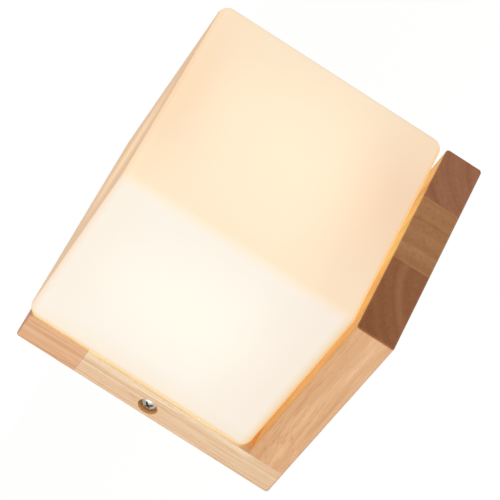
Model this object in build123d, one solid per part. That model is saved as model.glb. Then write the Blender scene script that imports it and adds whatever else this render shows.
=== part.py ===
from build123d import *
import os
from math import atan2, cos, radians, sin, sqrt, tan

# A wall sconce: two glued wooden boards in an L carry an opal glass cube with a small pin lamp inside.
# Millimetres. X runs to the right seen from the room, Y runs towards the wall, Z runs up.
# The wall plane is Y = 0, and the origin is midway between the two wall screws.

# Wooden body
BODY_HEIGHT = 130.0
BODY_WIDTH = 110.0
BODY_PROJECTION = 131.0
BOARD_THICKNESS = 18.0
BOARD_EDGE_RADIUS = 1.5
SHELF_ARRIS_RADIUS = 0.8

# Wiring pocket in the rear face of the back board
POCKET_SIDE_WALL = 10.0
POCKET_TOP_WALL = 15.0
POCKET_BOTTOM_WALL = 23.0
POCKET_CORNER_RADIUS = 8.0
POCKET_DEPTH = 12.0

# Joint between the shelf and the back board
DOWEL_DIAMETER = 8.0
DOWEL_LENGTH = 28.0
DOWEL_DEPTH_IN_BACK = 11.0
DOWEL_SPACING = 30.0
DOWEL_END_ROOM = 1.0
SHELF_SCREW_DIAMETER = 4.0
SHELF_SCREW_LENGTH = 45.0
SHELF_SCREW_EDGE_DISTANCE = 17.0
SHELF_SCREW_HEAD_DIAMETER = 8.0
SHELF_SCREW_HEAD_HEIGHT = 2.4
SHELF_SCREW_SINK = 0.5
FIT_CLEARANCE = 0.05

# Glass shade
SHADE_SIDE_OVERHANG = 1.5
SHADE_TOP_OVERHANG = 2.0
SHADE_FRONT_OVERHANG = 2.0
SHADE_SHELF_GAP = 2.0
SHADE_BACK_GAP = 0.5
SHADE_WALL = 3.5
SHADE_EDGE_RADIUS = 5.0
SHADE_MOUTH_DIAMETER = 80.0
SHADE_MOUTH_EDGE_RADIUS = 0.6

# Wall bracket, a steel strip with both ends folded forward
SHEET_THICKNESS = 1.5
BRACKET_HEIGHT = 34.0
BRACKET_SIDE_CLEARANCE = 0.4
BRACKET_BEND_RADIUS = 2.0
TAB_FLOOR_CLEARANCE = 1.0
TAB_END_MARGIN = 3.5
WALL_SLOT_WIDTH = 4.5
WALL_SLOT_LENGTH = 12.0
WALL_SLOT_TAB_MARGIN = 14.6
CABLE_HOLE_DIAMETER = 12.0
CABLE_BUSH_WALL = 1.5
CABLE_BUSH_FLANGE = 2.5
CABLE_BUSH_FLANGE_THICKNESS = 1.5

# Side screws that hold the body on the bracket
SIDE_SCREW_DIAMETER = 4.0
SIDE_SCREW_LENGTH = 14.0
SIDE_SCREW_HEAD_DIAMETER = 7.6
SIDE_SCREW_HEAD_HEIGHT = 2.5
SIDE_SCREW_ROOM = 0.3
COUNTERBORE_DIAMETER = 9.4
COUNTERBORE_DEPTH = 2.9

# Shapes that all the screws share, as shares of their own head or shank
RECESS_SIZE_SHARE = 0.58
RECESS_DEPTH_SHARE = 0.62
RECESS_ARM_SHARE = 0.22
RECESS_TAPER = 0.55
HEAD_ROUNDING_SHARE = 0.6
SCREW_POINT_SHARE = 0.25

# How far a cut runs on past the face that it opens
CUT_OVERRUN = 1.0

# Earth stud on the bracket, with its washer and nut
EARTH_STUD_X = 16.0
EARTH_STUD_Z = 9.0
EARTH_STUD_DIAMETER = 4.0
EARTH_STUD_LENGTH = 8.0
EARTH_STUD_TIP_SHARE = 0.125
EARTH_WASHER_DIAMETER = 8.0
EARTH_WASHER_THICKNESS = 0.8
EARTH_NUT_ACROSS_FLATS = 7.0
EARTH_NUT_HEIGHT = 3.0

# Ring tags crimped on the earth leads
TAG_THICKNESS = 0.8
TAG_RING_DIAMETER = 7.6
TAG_NECK_WIDTH = 3.0
TAG_NECK_LENGTH = 5.0
TAG_BARREL_LENGTH = 4.0
TAG_BARREL_WALL = 0.5

# Terminal block
POLE_COUNT = 3
POLE_PITCH = 11.0
TOWER_WIDTH = 8.4
TOWER_CHAMFER_SHARE = 0.125
BLOCK_HEIGHT = 17.0
BLOCK_BASE_THICKNESS = 3.0
BLOCK_REAR_CLEARANCE = 1.0
BLOCK_EAR_WIDTH = 6.0
BLOCK_SPARE_BELOW_SHARE = 0.2
BARREL_WALL = 0.9
BARREL_END_SET_BACK = 1.2
CLAMP_SCREW_DIAMETER = 2.6
CLAMP_SCREW_OFFSET = 4.2
CLAMP_SCREW_SINK = 0.6
CLAMP_SLOT_SHARE = 0.25
BLOCK_SCREW_DIAMETER = 2.9
BLOCK_SCREW_TIP_COVER = 2.0
BLOCK_SCREW_HEAD_DIAMETER = 5.4
BLOCK_SCREW_HEAD_HEIGHT = 1.8

# Leads
LEAD_DIAMETER = 1.8
LEAD_HOLE_DIAMETER = 16.0
LEAD_BUSH_WALL = 1.0
LEAD_BUSH_FLANGE = 1.5
LEAD_BUSH_FLANGE_THICKNESS = 1.0
LEAD_ARC_SHARE = 0.45
LEAD_IN_TERMINAL = 6.0
EARTH_LEAD_HOLE_DIAMETER = 4.0
EARTH_LEAD_HOLE_Z = -13.0
EARTH_LEAD_CLEARANCE = 0.15

# Fitter plate inside the mouth of the shade
PLATE_THICKNESS = 1.0
PLATE_RIM_DEPTH = 2.5
PLATE_MOUTH_CLEARANCE = 1.0
PLATE_EARTH_SCREW_Z = -25.0
PLATE_EARTH_SCREW_DIAMETER = 3.5
PLATE_EARTH_SCREW_LENGTH = 5.0
SCREW_TIP_ROOM = 1.0

# Spring clips that grip the shade from inside
CLIP_COUNT = 3
CLIP_FIRST_ANGLE = 90.0
CLIP_WIDTH = 8.0
CLIP_THICKNESS = 0.5
CLIP_FOOT_LENGTH = 12.0
CLIP_RIM_GAP = 1.0
CLIP_MOUTH_GAP = 0.3
CLIP_BULGE = 1.5
CLIP_RAMP_ANGLE = 35.0
CLIP_TAIL_LENGTH = 8.0
CLIP_TAIL_RETURN = 4.0
CLIP_BEND_RADIUS = 1.0

# Screws that hold the clips and the plate to the back board
FITTER_SCREW_DIAMETER = 3.5
FITTER_SCREW_TIP_COVER = 1.5
FITTER_SCREW_HEAD_DIAMETER = 6.5
FITTER_SCREW_HEAD_HEIGHT = 2.0
FITTER_SCREW_FROM_FOOT_END = 5.5

# Lampholder for a two-pin lamp
PIN_SPACING = 9.0
STRAP_THICKNESS = 1.2
STRAP_LENGTH = 38.0
STRAP_WIDTH = 9.0
STRAP_SCREW_SPACING = 30.0
STRAP_SCREW_DIAMETER = 3.0
STRAP_SCREW_LENGTH = 5.0
STRAP_SCREW_HEAD_DIAMETER = 5.5
STRAP_SCREW_HEAD_HEIGHT = 1.8
STRAP_EAR_WIDTH = 7.0
STRAP_EAR_LENGTH = 12.0
STRAP_LEAD_HOLE_DIAMETER = 5.0
HOLDER_WIDTH = 22.0
HOLDER_DEPTH = 14.0
HOLDER_HEIGHT = 26.0
HOLDER_CORNER_RADIUS = 6.0
HOLDER_EDGE_RADIUS = 1.0
HOLDER_BLIND_THICKNESS = 5.0
PIN_SLOT_WIDTH = 2.2
PIN_SLOT_DEPTH = 5.2
CONTACT_CHAMBER_WIDTH = 5.4
CONTACT_CHAMBER_DEPTH = 6.4
CONTACT_THICKNESS = 0.5
CONTACT_WIDTH = 4.0
CONTACT_LENGTH = 14.0
CONTACT_GRIP_CLEARANCE = 0.3
HOLDER_FRONT_WALL = 2.2

# Pin lamp
PIN_DIAMETER = 1.0
PIN_LOOP_WIDTH = 3.6
PIN_LENGTH = 15.0
PIN_IN_BASE = 3.0
LAMP_SEAT_GAP = 0.3
LAMP_BASE_DIAMETER = 16.0
LAMP_BASE_LENGTH = 13.0
LAMP_BASE_SPIGOT_LENGTH = 3.0
LAMP_COVER_DIAMETER = 18.0
LAMP_COVER_LENGTH = 42.0
LAMP_COVER_WALL = 1.0
LAMP_COVER_END_RADIUS = 7.6
LED_POST_WIDTH = 8.0
LED_POST_LENGTH = 30.0
LED_WIDTH = 2.8
LED_THICKNESS = 0.7
LED_ROWS = 5
LED_PITCH = 5.5

# Places worked out from the sizes above
half_width = BODY_WIDTH / 2
body_top = BODY_HEIGHT / 2
body_bottom = -BODY_HEIGHT / 2
board_front = -BOARD_THICKNESS
shelf_top = body_bottom + BOARD_THICKNESS
shelf_middle = body_bottom + BOARD_THICKNESS / 2
pocket_half_width = half_width - POCKET_SIDE_WALL
pocket_top = body_top - POCKET_TOP_WALL
pocket_bottom = body_bottom + POCKET_BOTTOM_WALL
pocket_floor = -POCKET_DEPTH
web_thickness = BOARD_THICKNESS - POCKET_DEPTH

bracket_half_width = pocket_half_width - BRACKET_SIDE_CLEARANCE
tab_end = pocket_floor + TAB_FLOOR_CLEARANCE
side_screw_y = tab_end + TAB_END_MARGIN
wall_slot_spacing = 2 * (bracket_half_width - WALL_SLOT_TAB_MARGIN)

shade_back = board_front - SHADE_BACK_GAP
shade_front = -BODY_PROJECTION - SHADE_FRONT_OVERHANG
shade_width = BODY_WIDTH + 2 * SHADE_SIDE_OVERHANG
shade_bottom = shelf_top + SHADE_SHELF_GAP
shade_top = body_top + SHADE_TOP_OVERHANG
shade_middle = (shade_top + shade_bottom) / 2

# The plate, the lampholder and the leads' hole lie on one axis, at the middle of the shade
mouth_radius = SHADE_MOUTH_DIAMETER / 2
plate_radius = mouth_radius - PLATE_MOUTH_CLEARANCE
plate_front = board_front - PLATE_THICKNESS
fitter_z = shade_middle

# The block stands above both the bracket and the flange of the leads' bush
lead_bush_top = fitter_z + LEAD_HOLE_DIAMETER / 2 + LEAD_BUSH_FLANGE
block_room_bottom = max(BRACKET_HEIGHT / 2, lead_bush_top)
block_spare_height = pocket_top - block_room_bottom - BLOCK_HEIGHT
block_bottom = block_room_bottom + BLOCK_SPARE_BELOW_SHARE * block_spare_height
block_rear = -BLOCK_REAR_CLEARANCE
block_base_top = pocket_floor + BLOCK_BASE_THICKNESS
barrel_y = (block_base_top + block_rear) / 2
tower_row_width = (POLE_COUNT - 1) * POLE_PITCH + TOWER_WIDTH
block_screw_x = tower_row_width / 2 + BLOCK_EAR_WIDTH / 2
block_screw_length = BLOCK_BASE_THICKNESS + web_thickness - BLOCK_SCREW_TIP_COVER

# The middle terminal takes two leads side by side, and all three barrels are alike
earth_lead_offset = LEAD_DIAMETER / 2 + EARTH_LEAD_CLEARANCE
barrel_bore = 2 * (earth_lead_offset + LEAD_DIAMETER / 2 + EARTH_LEAD_CLEARANCE)
barrel_diameter = barrel_bore + 2 * BARREL_WALL

fitter_screw_length = CLIP_THICKNESS + PLATE_THICKNESS + web_thickness - FITTER_SCREW_TIP_COVER

strap_front = plate_front - STRAP_THICKNESS
holder_front = strap_front - HOLDER_HEIGHT
chamber_front = holder_front + HOLDER_FRONT_WALL
lamp_rear = holder_front - LAMP_SEAT_GAP
cover_rear = lamp_rear - LAMP_BASE_LENGTH

TO_ROOM = (0, -1, 0)
TO_WALL = (0, 1, 0)
RIGHT = (1, 0, 0)
UP = (0, 0, 1)
DOWN = (0, 0, -1)


def block_between(low, high):
    """A rectangular block from its lowest corner to its highest corner."""
    size = [b - a for a, b in zip(low, high)]
    middle = [(a + b) / 2 for a, b in zip(low, high)]
    return Pos(*middle) * Box(*size)


def rod(start, direction, diameter, length):
    """A round rod that starts at a point and runs along a direction."""
    place = Plane(origin=start, z_dir=direction)
    return place * Cylinder(diameter / 2, length, align=(Align.CENTER, Align.CENTER, Align.MIN))


def tube(start, direction, outer, inner, length):
    """A round tube that starts at a point and runs along a direction."""
    return rod(start, direction, outer, length) - rod(start, direction, inner, length)


def revolved(points):
    """A solid turned about Z from an outline of (radius, height) points."""
    outline = make_face(Polyline(*[(r, 0, z) for r, z in points], close=True))
    return revolve(outline, Axis.Z)


def cross_recess(head, depth):
    """The cross-shaped driver recess of a screw head, cut down from Z = 0."""
    size = head * RECESS_SIZE_SHARE
    arm = size * RECESS_ARM_SHARE
    top = Rectangle(size, arm) + Rectangle(arm, size)
    bottom = Pos(0, 0, -depth) * scale(top, RECESS_TAPER)
    return loft([top.face(), bottom.face()])


def shank_below(diameter, length):
    """A plain screw shank from Z = 0 down to a blunt point."""
    shank = rod((0, 0, 0), DOWN, diameter, length)
    tip = shank.edges().sort_by(Axis.Z)[0]
    return chamfer(tip, diameter * SCREW_POINT_SHARE)


def pan_screw(diameter, length, head, head_height):
    """A pan head screw along Z: the head stands on Z = 0 and the shank runs down."""
    dome = rod((0, 0, 0), UP, head, head_height)
    rim = dome.edges().sort_by(Axis.Z)[-1]
    dome = fillet(rim, head_height * HEAD_ROUNDING_SHARE)
    recess = Pos(0, 0, head_height) * cross_recess(head, head_height * RECESS_DEPTH_SHARE)
    return shank_below(diameter, length) + dome - recess


def countersunk_screw(diameter, length, head, head_height):
    """A countersunk screw along Z: the top of the head lies on Z = 0 and the shank runs down."""
    cone = Cone(diameter / 2, head / 2, head_height, align=(Align.CENTER, Align.CENTER, Align.MAX))
    return shank_below(diameter, length) + cone - cross_recess(head, head_height * RECESS_DEPTH_SHARE)


def put(shape, point, direction, side=UP):
    """Moves a shape made along Z so that its Z runs along a direction from a point."""
    return Plane(origin=point, x_dir=side, z_dir=direction) * shape


def arc_radii(points):
    """The largest even arc for each corner of a route, from its two runs and its turn."""
    radii = []
    for before, corner, after in zip(points, points[1:], points[2:]):
        first = Vector(*corner) - Vector(*before)
        second = Vector(*after) - Vector(*corner)
        turn = radians(first.get_angle(second))
        shorter = min(first.length, second.length)
        radii.append(LEAD_ARC_SHARE * shorter / tan(turn / 2))
    return radii


def lead(name, points):
    """An insulated lead along straight runs joined by tangent arcs."""
    radii = arc_radii(points)
    route = FilletPolyline(*points, radius=radii)
    section = Plane(origin=route @ 0, z_dir=route % 0) * Circle(LEAD_DIAMETER / 2)
    solid = sweep(section, path=route)
    expected = route.length * section.area
    print(name, "radii", [round(r, 1) for r in radii], "length", round(route.length, 1),
          "volume over section times length", round(solid.volume / expected, 4))
    return solid


def clip_places():
    """The angle of each spring clip about the plate's axis."""
    step = 360 / CLIP_COUNT
    return [CLIP_FIRST_ANGLE + step * n for n in range(CLIP_COUNT)]


def pole_places():
    """The X place of each pole of the terminal block."""
    first = -(POLE_COUNT - 1) / 2 * POLE_PITCH
    return [first + POLE_PITCH * n for n in range(POLE_COUNT)]


def clip_foot_end():
    """The radius at which a clip turns from its foot into its leaf, on the leaf's outer face."""
    return plate_radius - PLATE_THICKNESS - CLIP_RIM_GAP


def fitter_screw_radius():
    """The radius of the circle that the fitter screws lie on."""
    return clip_foot_end() - CLIP_FOOT_LENGTH + FITTER_SCREW_FROM_FOOT_END


def fitter_screw_points(y):
    """The places of the fitter screws at a depth from the wall."""
    radius = fitter_screw_radius()
    return [
        (radius * cos(radians(a)), y, fitter_z + radius * sin(radians(a))) for a in clip_places()
    ]


def shelf_screw_places():
    """The X places of the two long screws into the shelf."""
    reach = half_width - SHELF_SCREW_EDGE_DISTANCE
    return [-reach, reach]


def dowel_places():
    """The X places of the two dowels."""
    return [-DOWEL_SPACING / 2, DOWEL_SPACING / 2]


def dowel_holes():
    """Both dowel holes, as cut across the joint."""
    length = DOWEL_LENGTH + 2 * DOWEL_END_ROOM
    start = board_front + DOWEL_DEPTH_IN_BACK + DOWEL_END_ROOM
    holes = []
    for x in dowel_places():
        holes.append(rod((x, start, shelf_middle), TO_ROOM, DOWEL_DIAMETER + 2 * FIT_CLEARANCE, length))
    return holes


def shelf_screw_holes():
    """The countersunk holes of the two long screws into the shelf."""
    shank = SHELF_SCREW_DIAMETER + 2 * FIT_CLEARANCE
    wide = SHELF_SCREW_HEAD_DIAMETER + 2 * FIT_CLEARANCE
    cone_end = -SHELF_SCREW_SINK - SHELF_SCREW_HEAD_HEIGHT
    holes = []
    for x in shelf_screw_places():
        outline = [
            (0, 0), (wide / 2, 0), (wide / 2, -SHELF_SCREW_SINK), (shank / 2, cone_end),
            (shank / 2, -SHELF_SCREW_LENGTH - SHELF_SCREW_SINK - DOWEL_END_ROOM),
            (0, -SHELF_SCREW_LENGTH - SHELF_SCREW_SINK - DOWEL_END_ROOM),
        ]
        holes.append(put(revolved(outline), (x, 0, shelf_middle), TO_WALL))
    return holes


def side_screw_hole(side):
    """The counterbored hole of one side screw, through the pocket's side wall."""
    face = (side * half_width, side_screw_y, 0)
    inward = (-side, 0, 0)
    bore = rod(face, inward, SIDE_SCREW_DIAMETER + 2 * SIDE_SCREW_ROOM, POCKET_SIDE_WALL + CUT_OVERRUN)
    return bore + rod(face, inward, COUNTERBORE_DIAMETER, COUNTERBORE_DEPTH)


def pocket():
    """The wiring pocket, open at the wall."""
    width = 2 * pocket_half_width
    height = pocket_top - pocket_bottom
    outline = RectangleRounded(width, height, POCKET_CORNER_RADIUS)
    middle = (pocket_top + pocket_bottom) / 2
    return put(extrude(outline, amount=POCKET_DEPTH), (0, pocket_floor, middle), TO_WALL, RIGHT)


def back_board():
    """The wall board, grain upright, with its pocket and holes."""
    board = block_between((-half_width, board_front, body_bottom), (half_width, 0, body_top))
    rear = board.faces().sort_by(Axis.Y)[-1].edges()
    across_thickness = board.edges().filter_by(Axis.Y)
    top_front = board.edges().filter_by(Axis.X).group_by(Axis.Z)[-1].sort_by(Axis.Y)[0]
    board = fillet(list(rear) + list(across_thickness) + [top_front], BOARD_EDGE_RADIUS)
    board -= pocket()
    board -= rod((0, pocket_floor, fitter_z), TO_ROOM, LEAD_HOLE_DIAMETER, web_thickness)
    earth_hole = (0, pocket_floor, fitter_z + EARTH_LEAD_HOLE_Z)
    board -= rod(earth_hole, TO_ROOM, EARTH_LEAD_HOLE_DIAMETER, web_thickness)
    for hole in dowel_holes() + shelf_screw_holes():
        board -= hole
    for side in (-1, 1):
        board -= side_screw_hole(side)
    for point in fitter_screw_points(board_front):
        depth = fitter_screw_length - PLATE_THICKNESS - CLIP_THICKNESS
        board -= rod(point, TO_WALL, FITTER_SCREW_DIAMETER + 2 * FIT_CLEARANCE, depth + FIT_CLEARANCE)
    tag_screw = (0, board_front, fitter_z + PLATE_EARTH_SCREW_Z)
    tag_relief = PLATE_EARTH_SCREW_DIAMETER + 2 * SCREW_TIP_ROOM
    board -= rod(tag_screw, TO_WALL, tag_relief, PLATE_EARTH_SCREW_LENGTH)
    for x in (-STRAP_SCREW_SPACING / 2, STRAP_SCREW_SPACING / 2):
        start = (x, board_front, fitter_z)
        board -= rod(start, TO_WALL, STRAP_SCREW_DIAMETER + 2 * SCREW_TIP_ROOM, STRAP_SCREW_LENGTH)
    for x in (-block_screw_x, block_screw_x):
        depth = block_screw_length - BLOCK_BASE_THICKNESS
        start = (x, pocket_floor, block_bottom + BLOCK_HEIGHT / 2)
        board -= rod(start, TO_ROOM, BLOCK_SCREW_DIAMETER + 2 * FIT_CLEARANCE, depth + FIT_CLEARANCE)
    return board


def shelf_board():
    """The lower board, grain front to back, butted on the back board's front face."""
    board = block_between((-half_width, -BODY_PROJECTION, body_bottom), (half_width, board_front, shelf_top))
    long_edges = board.edges().filter_by(Axis.Y)
    front_edges = board.faces().sort_by(Axis.Y)[0].edges()
    lower_front = front_edges.filter_by(Axis.X).sort_by(Axis.Z)[0]
    board = fillet(list(long_edges) + [lower_front], BOARD_EDGE_RADIUS)
    front_face = board.faces().sort_by(Axis.Y)[0]
    upright_edges = front_face.edges().filter_by(Axis.Z)
    upper_front = front_face.edges().filter_by(Axis.X).sort_by(Axis.Z)[-1]
    board = fillet(list(upright_edges) + [upper_front], SHELF_ARRIS_RADIUS)
    for hole in dowel_holes() + shelf_screw_holes():
        board -= hole
    return board


def shelf_dowels():
    """Two beech dowels across the joint."""
    start_y = board_front + DOWEL_DEPTH_IN_BACK
    dowels = []
    for x in dowel_places():
        dowel = rod((x, start_y, shelf_middle), TO_ROOM, DOWEL_DIAMETER, DOWEL_LENGTH)
        dowels.append(chamfer(dowel.edges().filter_by(GeomType.CIRCLE), SHELF_ARRIS_RADIUS))
    return dowels


def shelf_screws():
    """Two long countersunk screws from the wall side into the shelf."""
    one = countersunk_screw(SHELF_SCREW_DIAMETER, SHELF_SCREW_LENGTH, SHELF_SCREW_HEAD_DIAMETER,
                            SHELF_SCREW_HEAD_HEIGHT)
    return [put(one, (x, -SHELF_SCREW_SINK, shelf_middle), TO_WALL) for x in shelf_screw_places()]


def wall_bracket():
    """The steel strip on the wall, with slots, a cable hole and a tapped tab at each end."""
    w = bracket_half_width
    t = SHEET_THICKNESS
    outline = Polyline(
        (-w, 0), (w, 0), (w, tab_end), (w - t, tab_end), (w - t, -t),
        (-w + t, -t), (-w + t, tab_end), (-w, tab_end), close=True,
    )
    profile = make_face(outline)
    profile = fillet(profile.vertices().group_by(Axis.Y)[-1], BRACKET_BEND_RADIUS)
    inner_face = [v for v in profile.vertices() if abs(v.Y + t) < FIT_CLEARANCE]
    inner_bends = [v for v in inner_face if abs(v.X) < w - t + FIT_CLEARANCE]
    profile = fillet(inner_bends, BRACKET_BEND_RADIUS - t)
    bracket = Pos(0, 0, -BRACKET_HEIGHT / 2) * extrude(profile, amount=BRACKET_HEIGHT)
    slot = extrude(SlotOverall(WALL_SLOT_LENGTH, WALL_SLOT_WIDTH), amount=t)
    for x in (-wall_slot_spacing / 2, wall_slot_spacing / 2):
        bracket -= put(slot, (x, -t, 0), TO_WALL, RIGHT)
    bracket -= rod((0, 0, 0), TO_ROOM, CABLE_HOLE_DIAMETER, t)
    bracket -= rod(earth_point(0), TO_ROOM, EARTH_STUD_DIAMETER + 2 * FIT_CLEARANCE, t)
    for side in (-1, 1):
        start = (side * w, side_screw_y, 0)
        bracket -= rod(start, (-side, 0, 0), SIDE_SCREW_DIAMETER + 2 * FIT_CLEARANCE, t)
    return bracket


def cable_bush():
    """The rubber bush in the bracket's cable hole, flush with the wall plane."""
    outer = CABLE_HOLE_DIAMETER - 2 * FIT_CLEARANCE
    inner = CABLE_HOLE_DIAMETER - 2 * CABLE_BUSH_WALL
    sleeve = tube((0, 0, 0), TO_ROOM, outer, inner, SHEET_THICKNESS)
    flange_outer = CABLE_HOLE_DIAMETER + 2 * CABLE_BUSH_FLANGE
    flange = tube((0, -SHEET_THICKNESS, 0), TO_ROOM, flange_outer, inner, CABLE_BUSH_FLANGE_THICKNESS)
    return sleeve + flange


def earth_point(y):
    """A point on the earth stud's axis at a depth from the wall."""
    return (EARTH_STUD_X, y, EARTH_STUD_Z)


def earth_stud():
    """The stud pressed into the bracket, flush at the wall."""
    stud = rod(earth_point(0), TO_ROOM, EARTH_STUD_DIAMETER, EARTH_STUD_LENGTH)
    tip = stud.edges().sort_by(Axis.Y)[0]
    return chamfer(tip, EARTH_STUD_DIAMETER * EARTH_STUD_TIP_SHARE)


def earth_washer():
    """The toothed washer between the ring tag and the nut."""
    bore = EARTH_STUD_DIAMETER + 2 * FIT_CLEARANCE
    washer = tube(earth_point(-SHEET_THICKNESS - TAG_THICKNESS), TO_ROOM, EARTH_WASHER_DIAMETER, bore,
                  EARTH_WASHER_THICKNESS)
    return washer


def earth_nut():
    """The hexagon nut on the earth stud."""
    seat = -SHEET_THICKNESS - TAG_THICKNESS - EARTH_WASHER_THICKNESS
    corner_radius = EARTH_NUT_ACROSS_FLATS / sqrt(3)
    hexagon = extrude(RegularPolygon(corner_radius, 6), amount=EARTH_NUT_HEIGHT)
    nut = put(hexagon, earth_point(seat), TO_ROOM)
    return nut - rod(earth_point(seat), TO_ROOM, EARTH_STUD_DIAMETER + 2 * FIT_CLEARANCE, EARTH_NUT_HEIGHT)


def ring_tag(hole):
    """A ring tag lying on Z = 0, its barrel pointing along +X from the ring's centre."""
    ring = Cylinder(TAG_RING_DIAMETER / 2, TAG_THICKNESS, align=(Align.CENTER, Align.CENTER, Align.MIN))
    neck = block_between((0, -TAG_NECK_WIDTH / 2, 0), (TAG_NECK_LENGTH, TAG_NECK_WIDTH / 2, TAG_THICKNESS))
    barrel_outer = LEAD_DIAMETER + 2 * TAG_BARREL_WALL + 2 * FIT_CLEARANCE
    centre = (TAG_NECK_LENGTH - TAG_THICKNESS, 0, barrel_outer / 2)
    barrel = rod(centre, RIGHT, barrel_outer, TAG_BARREL_LENGTH)
    lead_bore = rod(centre, RIGHT, LEAD_DIAMETER + 2 * FIT_CLEARANCE, TAG_BARREL_LENGTH)
    body = ring + neck + barrel - lead_bore
    return body - Cylinder(hole / 2 + FIT_CLEARANCE, 2 * (TAG_THICKNESS + CUT_OVERRUN))


def tag_barrel_height():
    """The height of a tag's barrel axis above the face that the tag lies on."""
    return LEAD_DIAMETER / 2 + TAG_BARREL_WALL + FIT_CLEARANCE


def earth_tags():
    """The two ring tags: one on the bracket's stud, one under the plate's screw."""
    on_stud = put(ring_tag(EARTH_STUD_DIAMETER), earth_point(-SHEET_THICKNESS), TO_ROOM, (-1, 0, 0))
    plate_point = (0, plate_front, fitter_z + PLATE_EARTH_SCREW_Z)
    on_plate = put(ring_tag(PLATE_EARTH_SCREW_DIAMETER), plate_point, TO_ROOM, UP)
    return [on_stud, on_plate]


def side_screw(side):
    """One nickel side screw, its head sunk in the wood and its point through the bracket's tab."""
    one = pan_screw(SIDE_SCREW_DIAMETER, SIDE_SCREW_LENGTH, SIDE_SCREW_HEAD_DIAMETER,
                    SIDE_SCREW_HEAD_HEIGHT)
    seat = (side * (half_width - COUNTERBORE_DEPTH), side_screw_y, 0)
    return put(one, seat, (side, 0, 0))


def terminal_block():
    """The plastic block of three poles, with wire ways through Z and screw ways at the wall side."""
    width = tower_row_width + 2 * BLOCK_EAR_WIDTH
    top = block_bottom + BLOCK_HEIGHT
    middle = block_bottom + BLOCK_HEIGHT / 2
    block = block_between((-width / 2, pocket_floor, block_bottom), (width / 2, block_base_top, top))
    for x in pole_places():
        half = TOWER_WIDTH / 2
        tower = block_between((x - half, block_base_top, block_bottom), (x + half, block_rear, top))
        rear_edges = tower.edges().filter_by(Axis.Z).group_by(Axis.Y)[-1]
        block += chamfer(rear_edges, TOWER_WIDTH * TOWER_CHAMFER_SHARE)
    barrel_hole = barrel_diameter + 2 * FIT_CLEARANCE
    for x in pole_places():
        block -= rod((x, barrel_y, block_bottom), UP, barrel_hole, BLOCK_HEIGHT)
        for step in (-1, 1):
            start = (x, barrel_y, middle + step * CLAMP_SCREW_OFFSET)
            way = CLAMP_SCREW_DIAMETER + 2 * SIDE_SCREW_ROOM
            block -= rod(start, TO_WALL, way, block_rear - barrel_y)
    for x in (-block_screw_x, block_screw_x):
        hole = BLOCK_SCREW_DIAMETER + 2 * FIT_CLEARANCE
        block -= rod((x, pocket_floor, middle), TO_WALL, hole, BLOCK_BASE_THICKNESS)
    return block


def terminal_barrels():
    """The brass barrel of each pole."""
    barrels = []
    length = BLOCK_HEIGHT - 2 * BARREL_END_SET_BACK
    middle = block_bottom + BLOCK_HEIGHT / 2
    for x in pole_places():
        barrel = tube((x, barrel_y, block_bottom + BARREL_END_SET_BACK), UP,
                      barrel_diameter, barrel_bore, length)
        for step in (-1, 1):
            start = (x, barrel_y, middle + step * CLAMP_SCREW_OFFSET)
            way = CLAMP_SCREW_DIAMETER + 2 * FIT_CLEARANCE
            barrel -= rod(start, TO_WALL, way, barrel_diameter / 2 + CUT_OVERRUN)
        barrels.append(barrel)
    return barrels


def terminal_clamp_screws():
    """Two clamp screws for each pole, with a straight driver slot."""
    outer_end = block_rear - CLAMP_SCREW_SINK
    inner_end = barrel_y + LEAD_DIAMETER / 2 + 2 * FIT_CLEARANCE
    length = outer_end - inner_end
    slot_size = CLAMP_SCREW_DIAMETER * CLAMP_SLOT_SHARE
    slot = Pos(0, 0, length) * Box(2 * CLAMP_SCREW_DIAMETER, slot_size, 2 * slot_size)
    one = rod((0, 0, 0), UP, CLAMP_SCREW_DIAMETER, length) - slot
    screws = []
    for x in pole_places():
        for step in (-1, 1):
            z = block_bottom + BLOCK_HEIGHT / 2 + step * CLAMP_SCREW_OFFSET
            screws.append(put(one, (x, inner_end, z), TO_WALL))
    return screws


def terminal_fixing_screws():
    """Two small screws that hold the block to the pocket's floor."""
    one = pan_screw(BLOCK_SCREW_DIAMETER, block_screw_length, BLOCK_SCREW_HEAD_DIAMETER,
                    BLOCK_SCREW_HEAD_HEIGHT)
    z = block_bottom + BLOCK_HEIGHT / 2
    return [put(one, (x, block_base_top, z), TO_WALL) for x in (-block_screw_x, block_screw_x)]


def holder_lead(name, side):
    """A lead from one lampholder contact, through the board, to its pole."""
    pin_x = side * PIN_SPACING / 2
    pole_x = side * POLE_PITCH
    top = block_bottom + LEAD_IN_TERMINAL
    rise = block_bottom - LEAD_HOLE_DIAMETER / 2
    start_y = strap_front - HOLDER_BLIND_THICKNESS
    return lead(name, [
        (pin_x, start_y, fitter_z),
        (pin_x, barrel_y, fitter_z),
        (pole_x, barrel_y, rise),
        (pole_x, barrel_y, top),
    ])


def live_lead():
    """The lead on the left pole."""
    return holder_lead("live_lead", -1)


def neutral_lead():
    """The lead on the right pole."""
    return holder_lead("neutral_lead", 1)


def bracket_earth_lead():
    """The lead from the bracket's ring tag to the middle pole."""
    y = -SHEET_THICKNESS - tag_barrel_height()
    barrel_start = EARTH_STUD_X - TAG_NECK_LENGTH + TAG_THICKNESS
    end_x = barrel_start - TAG_BARREL_LENGTH / 2
    top = block_bottom + LEAD_IN_TERMINAL
    bend_z = EARTH_STUD_Z
    return lead("bracket_earth_lead", [
        (end_x, y, bend_z),
        (earth_lead_offset + TAG_BARREL_LENGTH, y, bend_z),
        (earth_lead_offset, barrel_y, bend_z + TAG_NECK_LENGTH),
        (earth_lead_offset, barrel_y, top),
    ])


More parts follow.
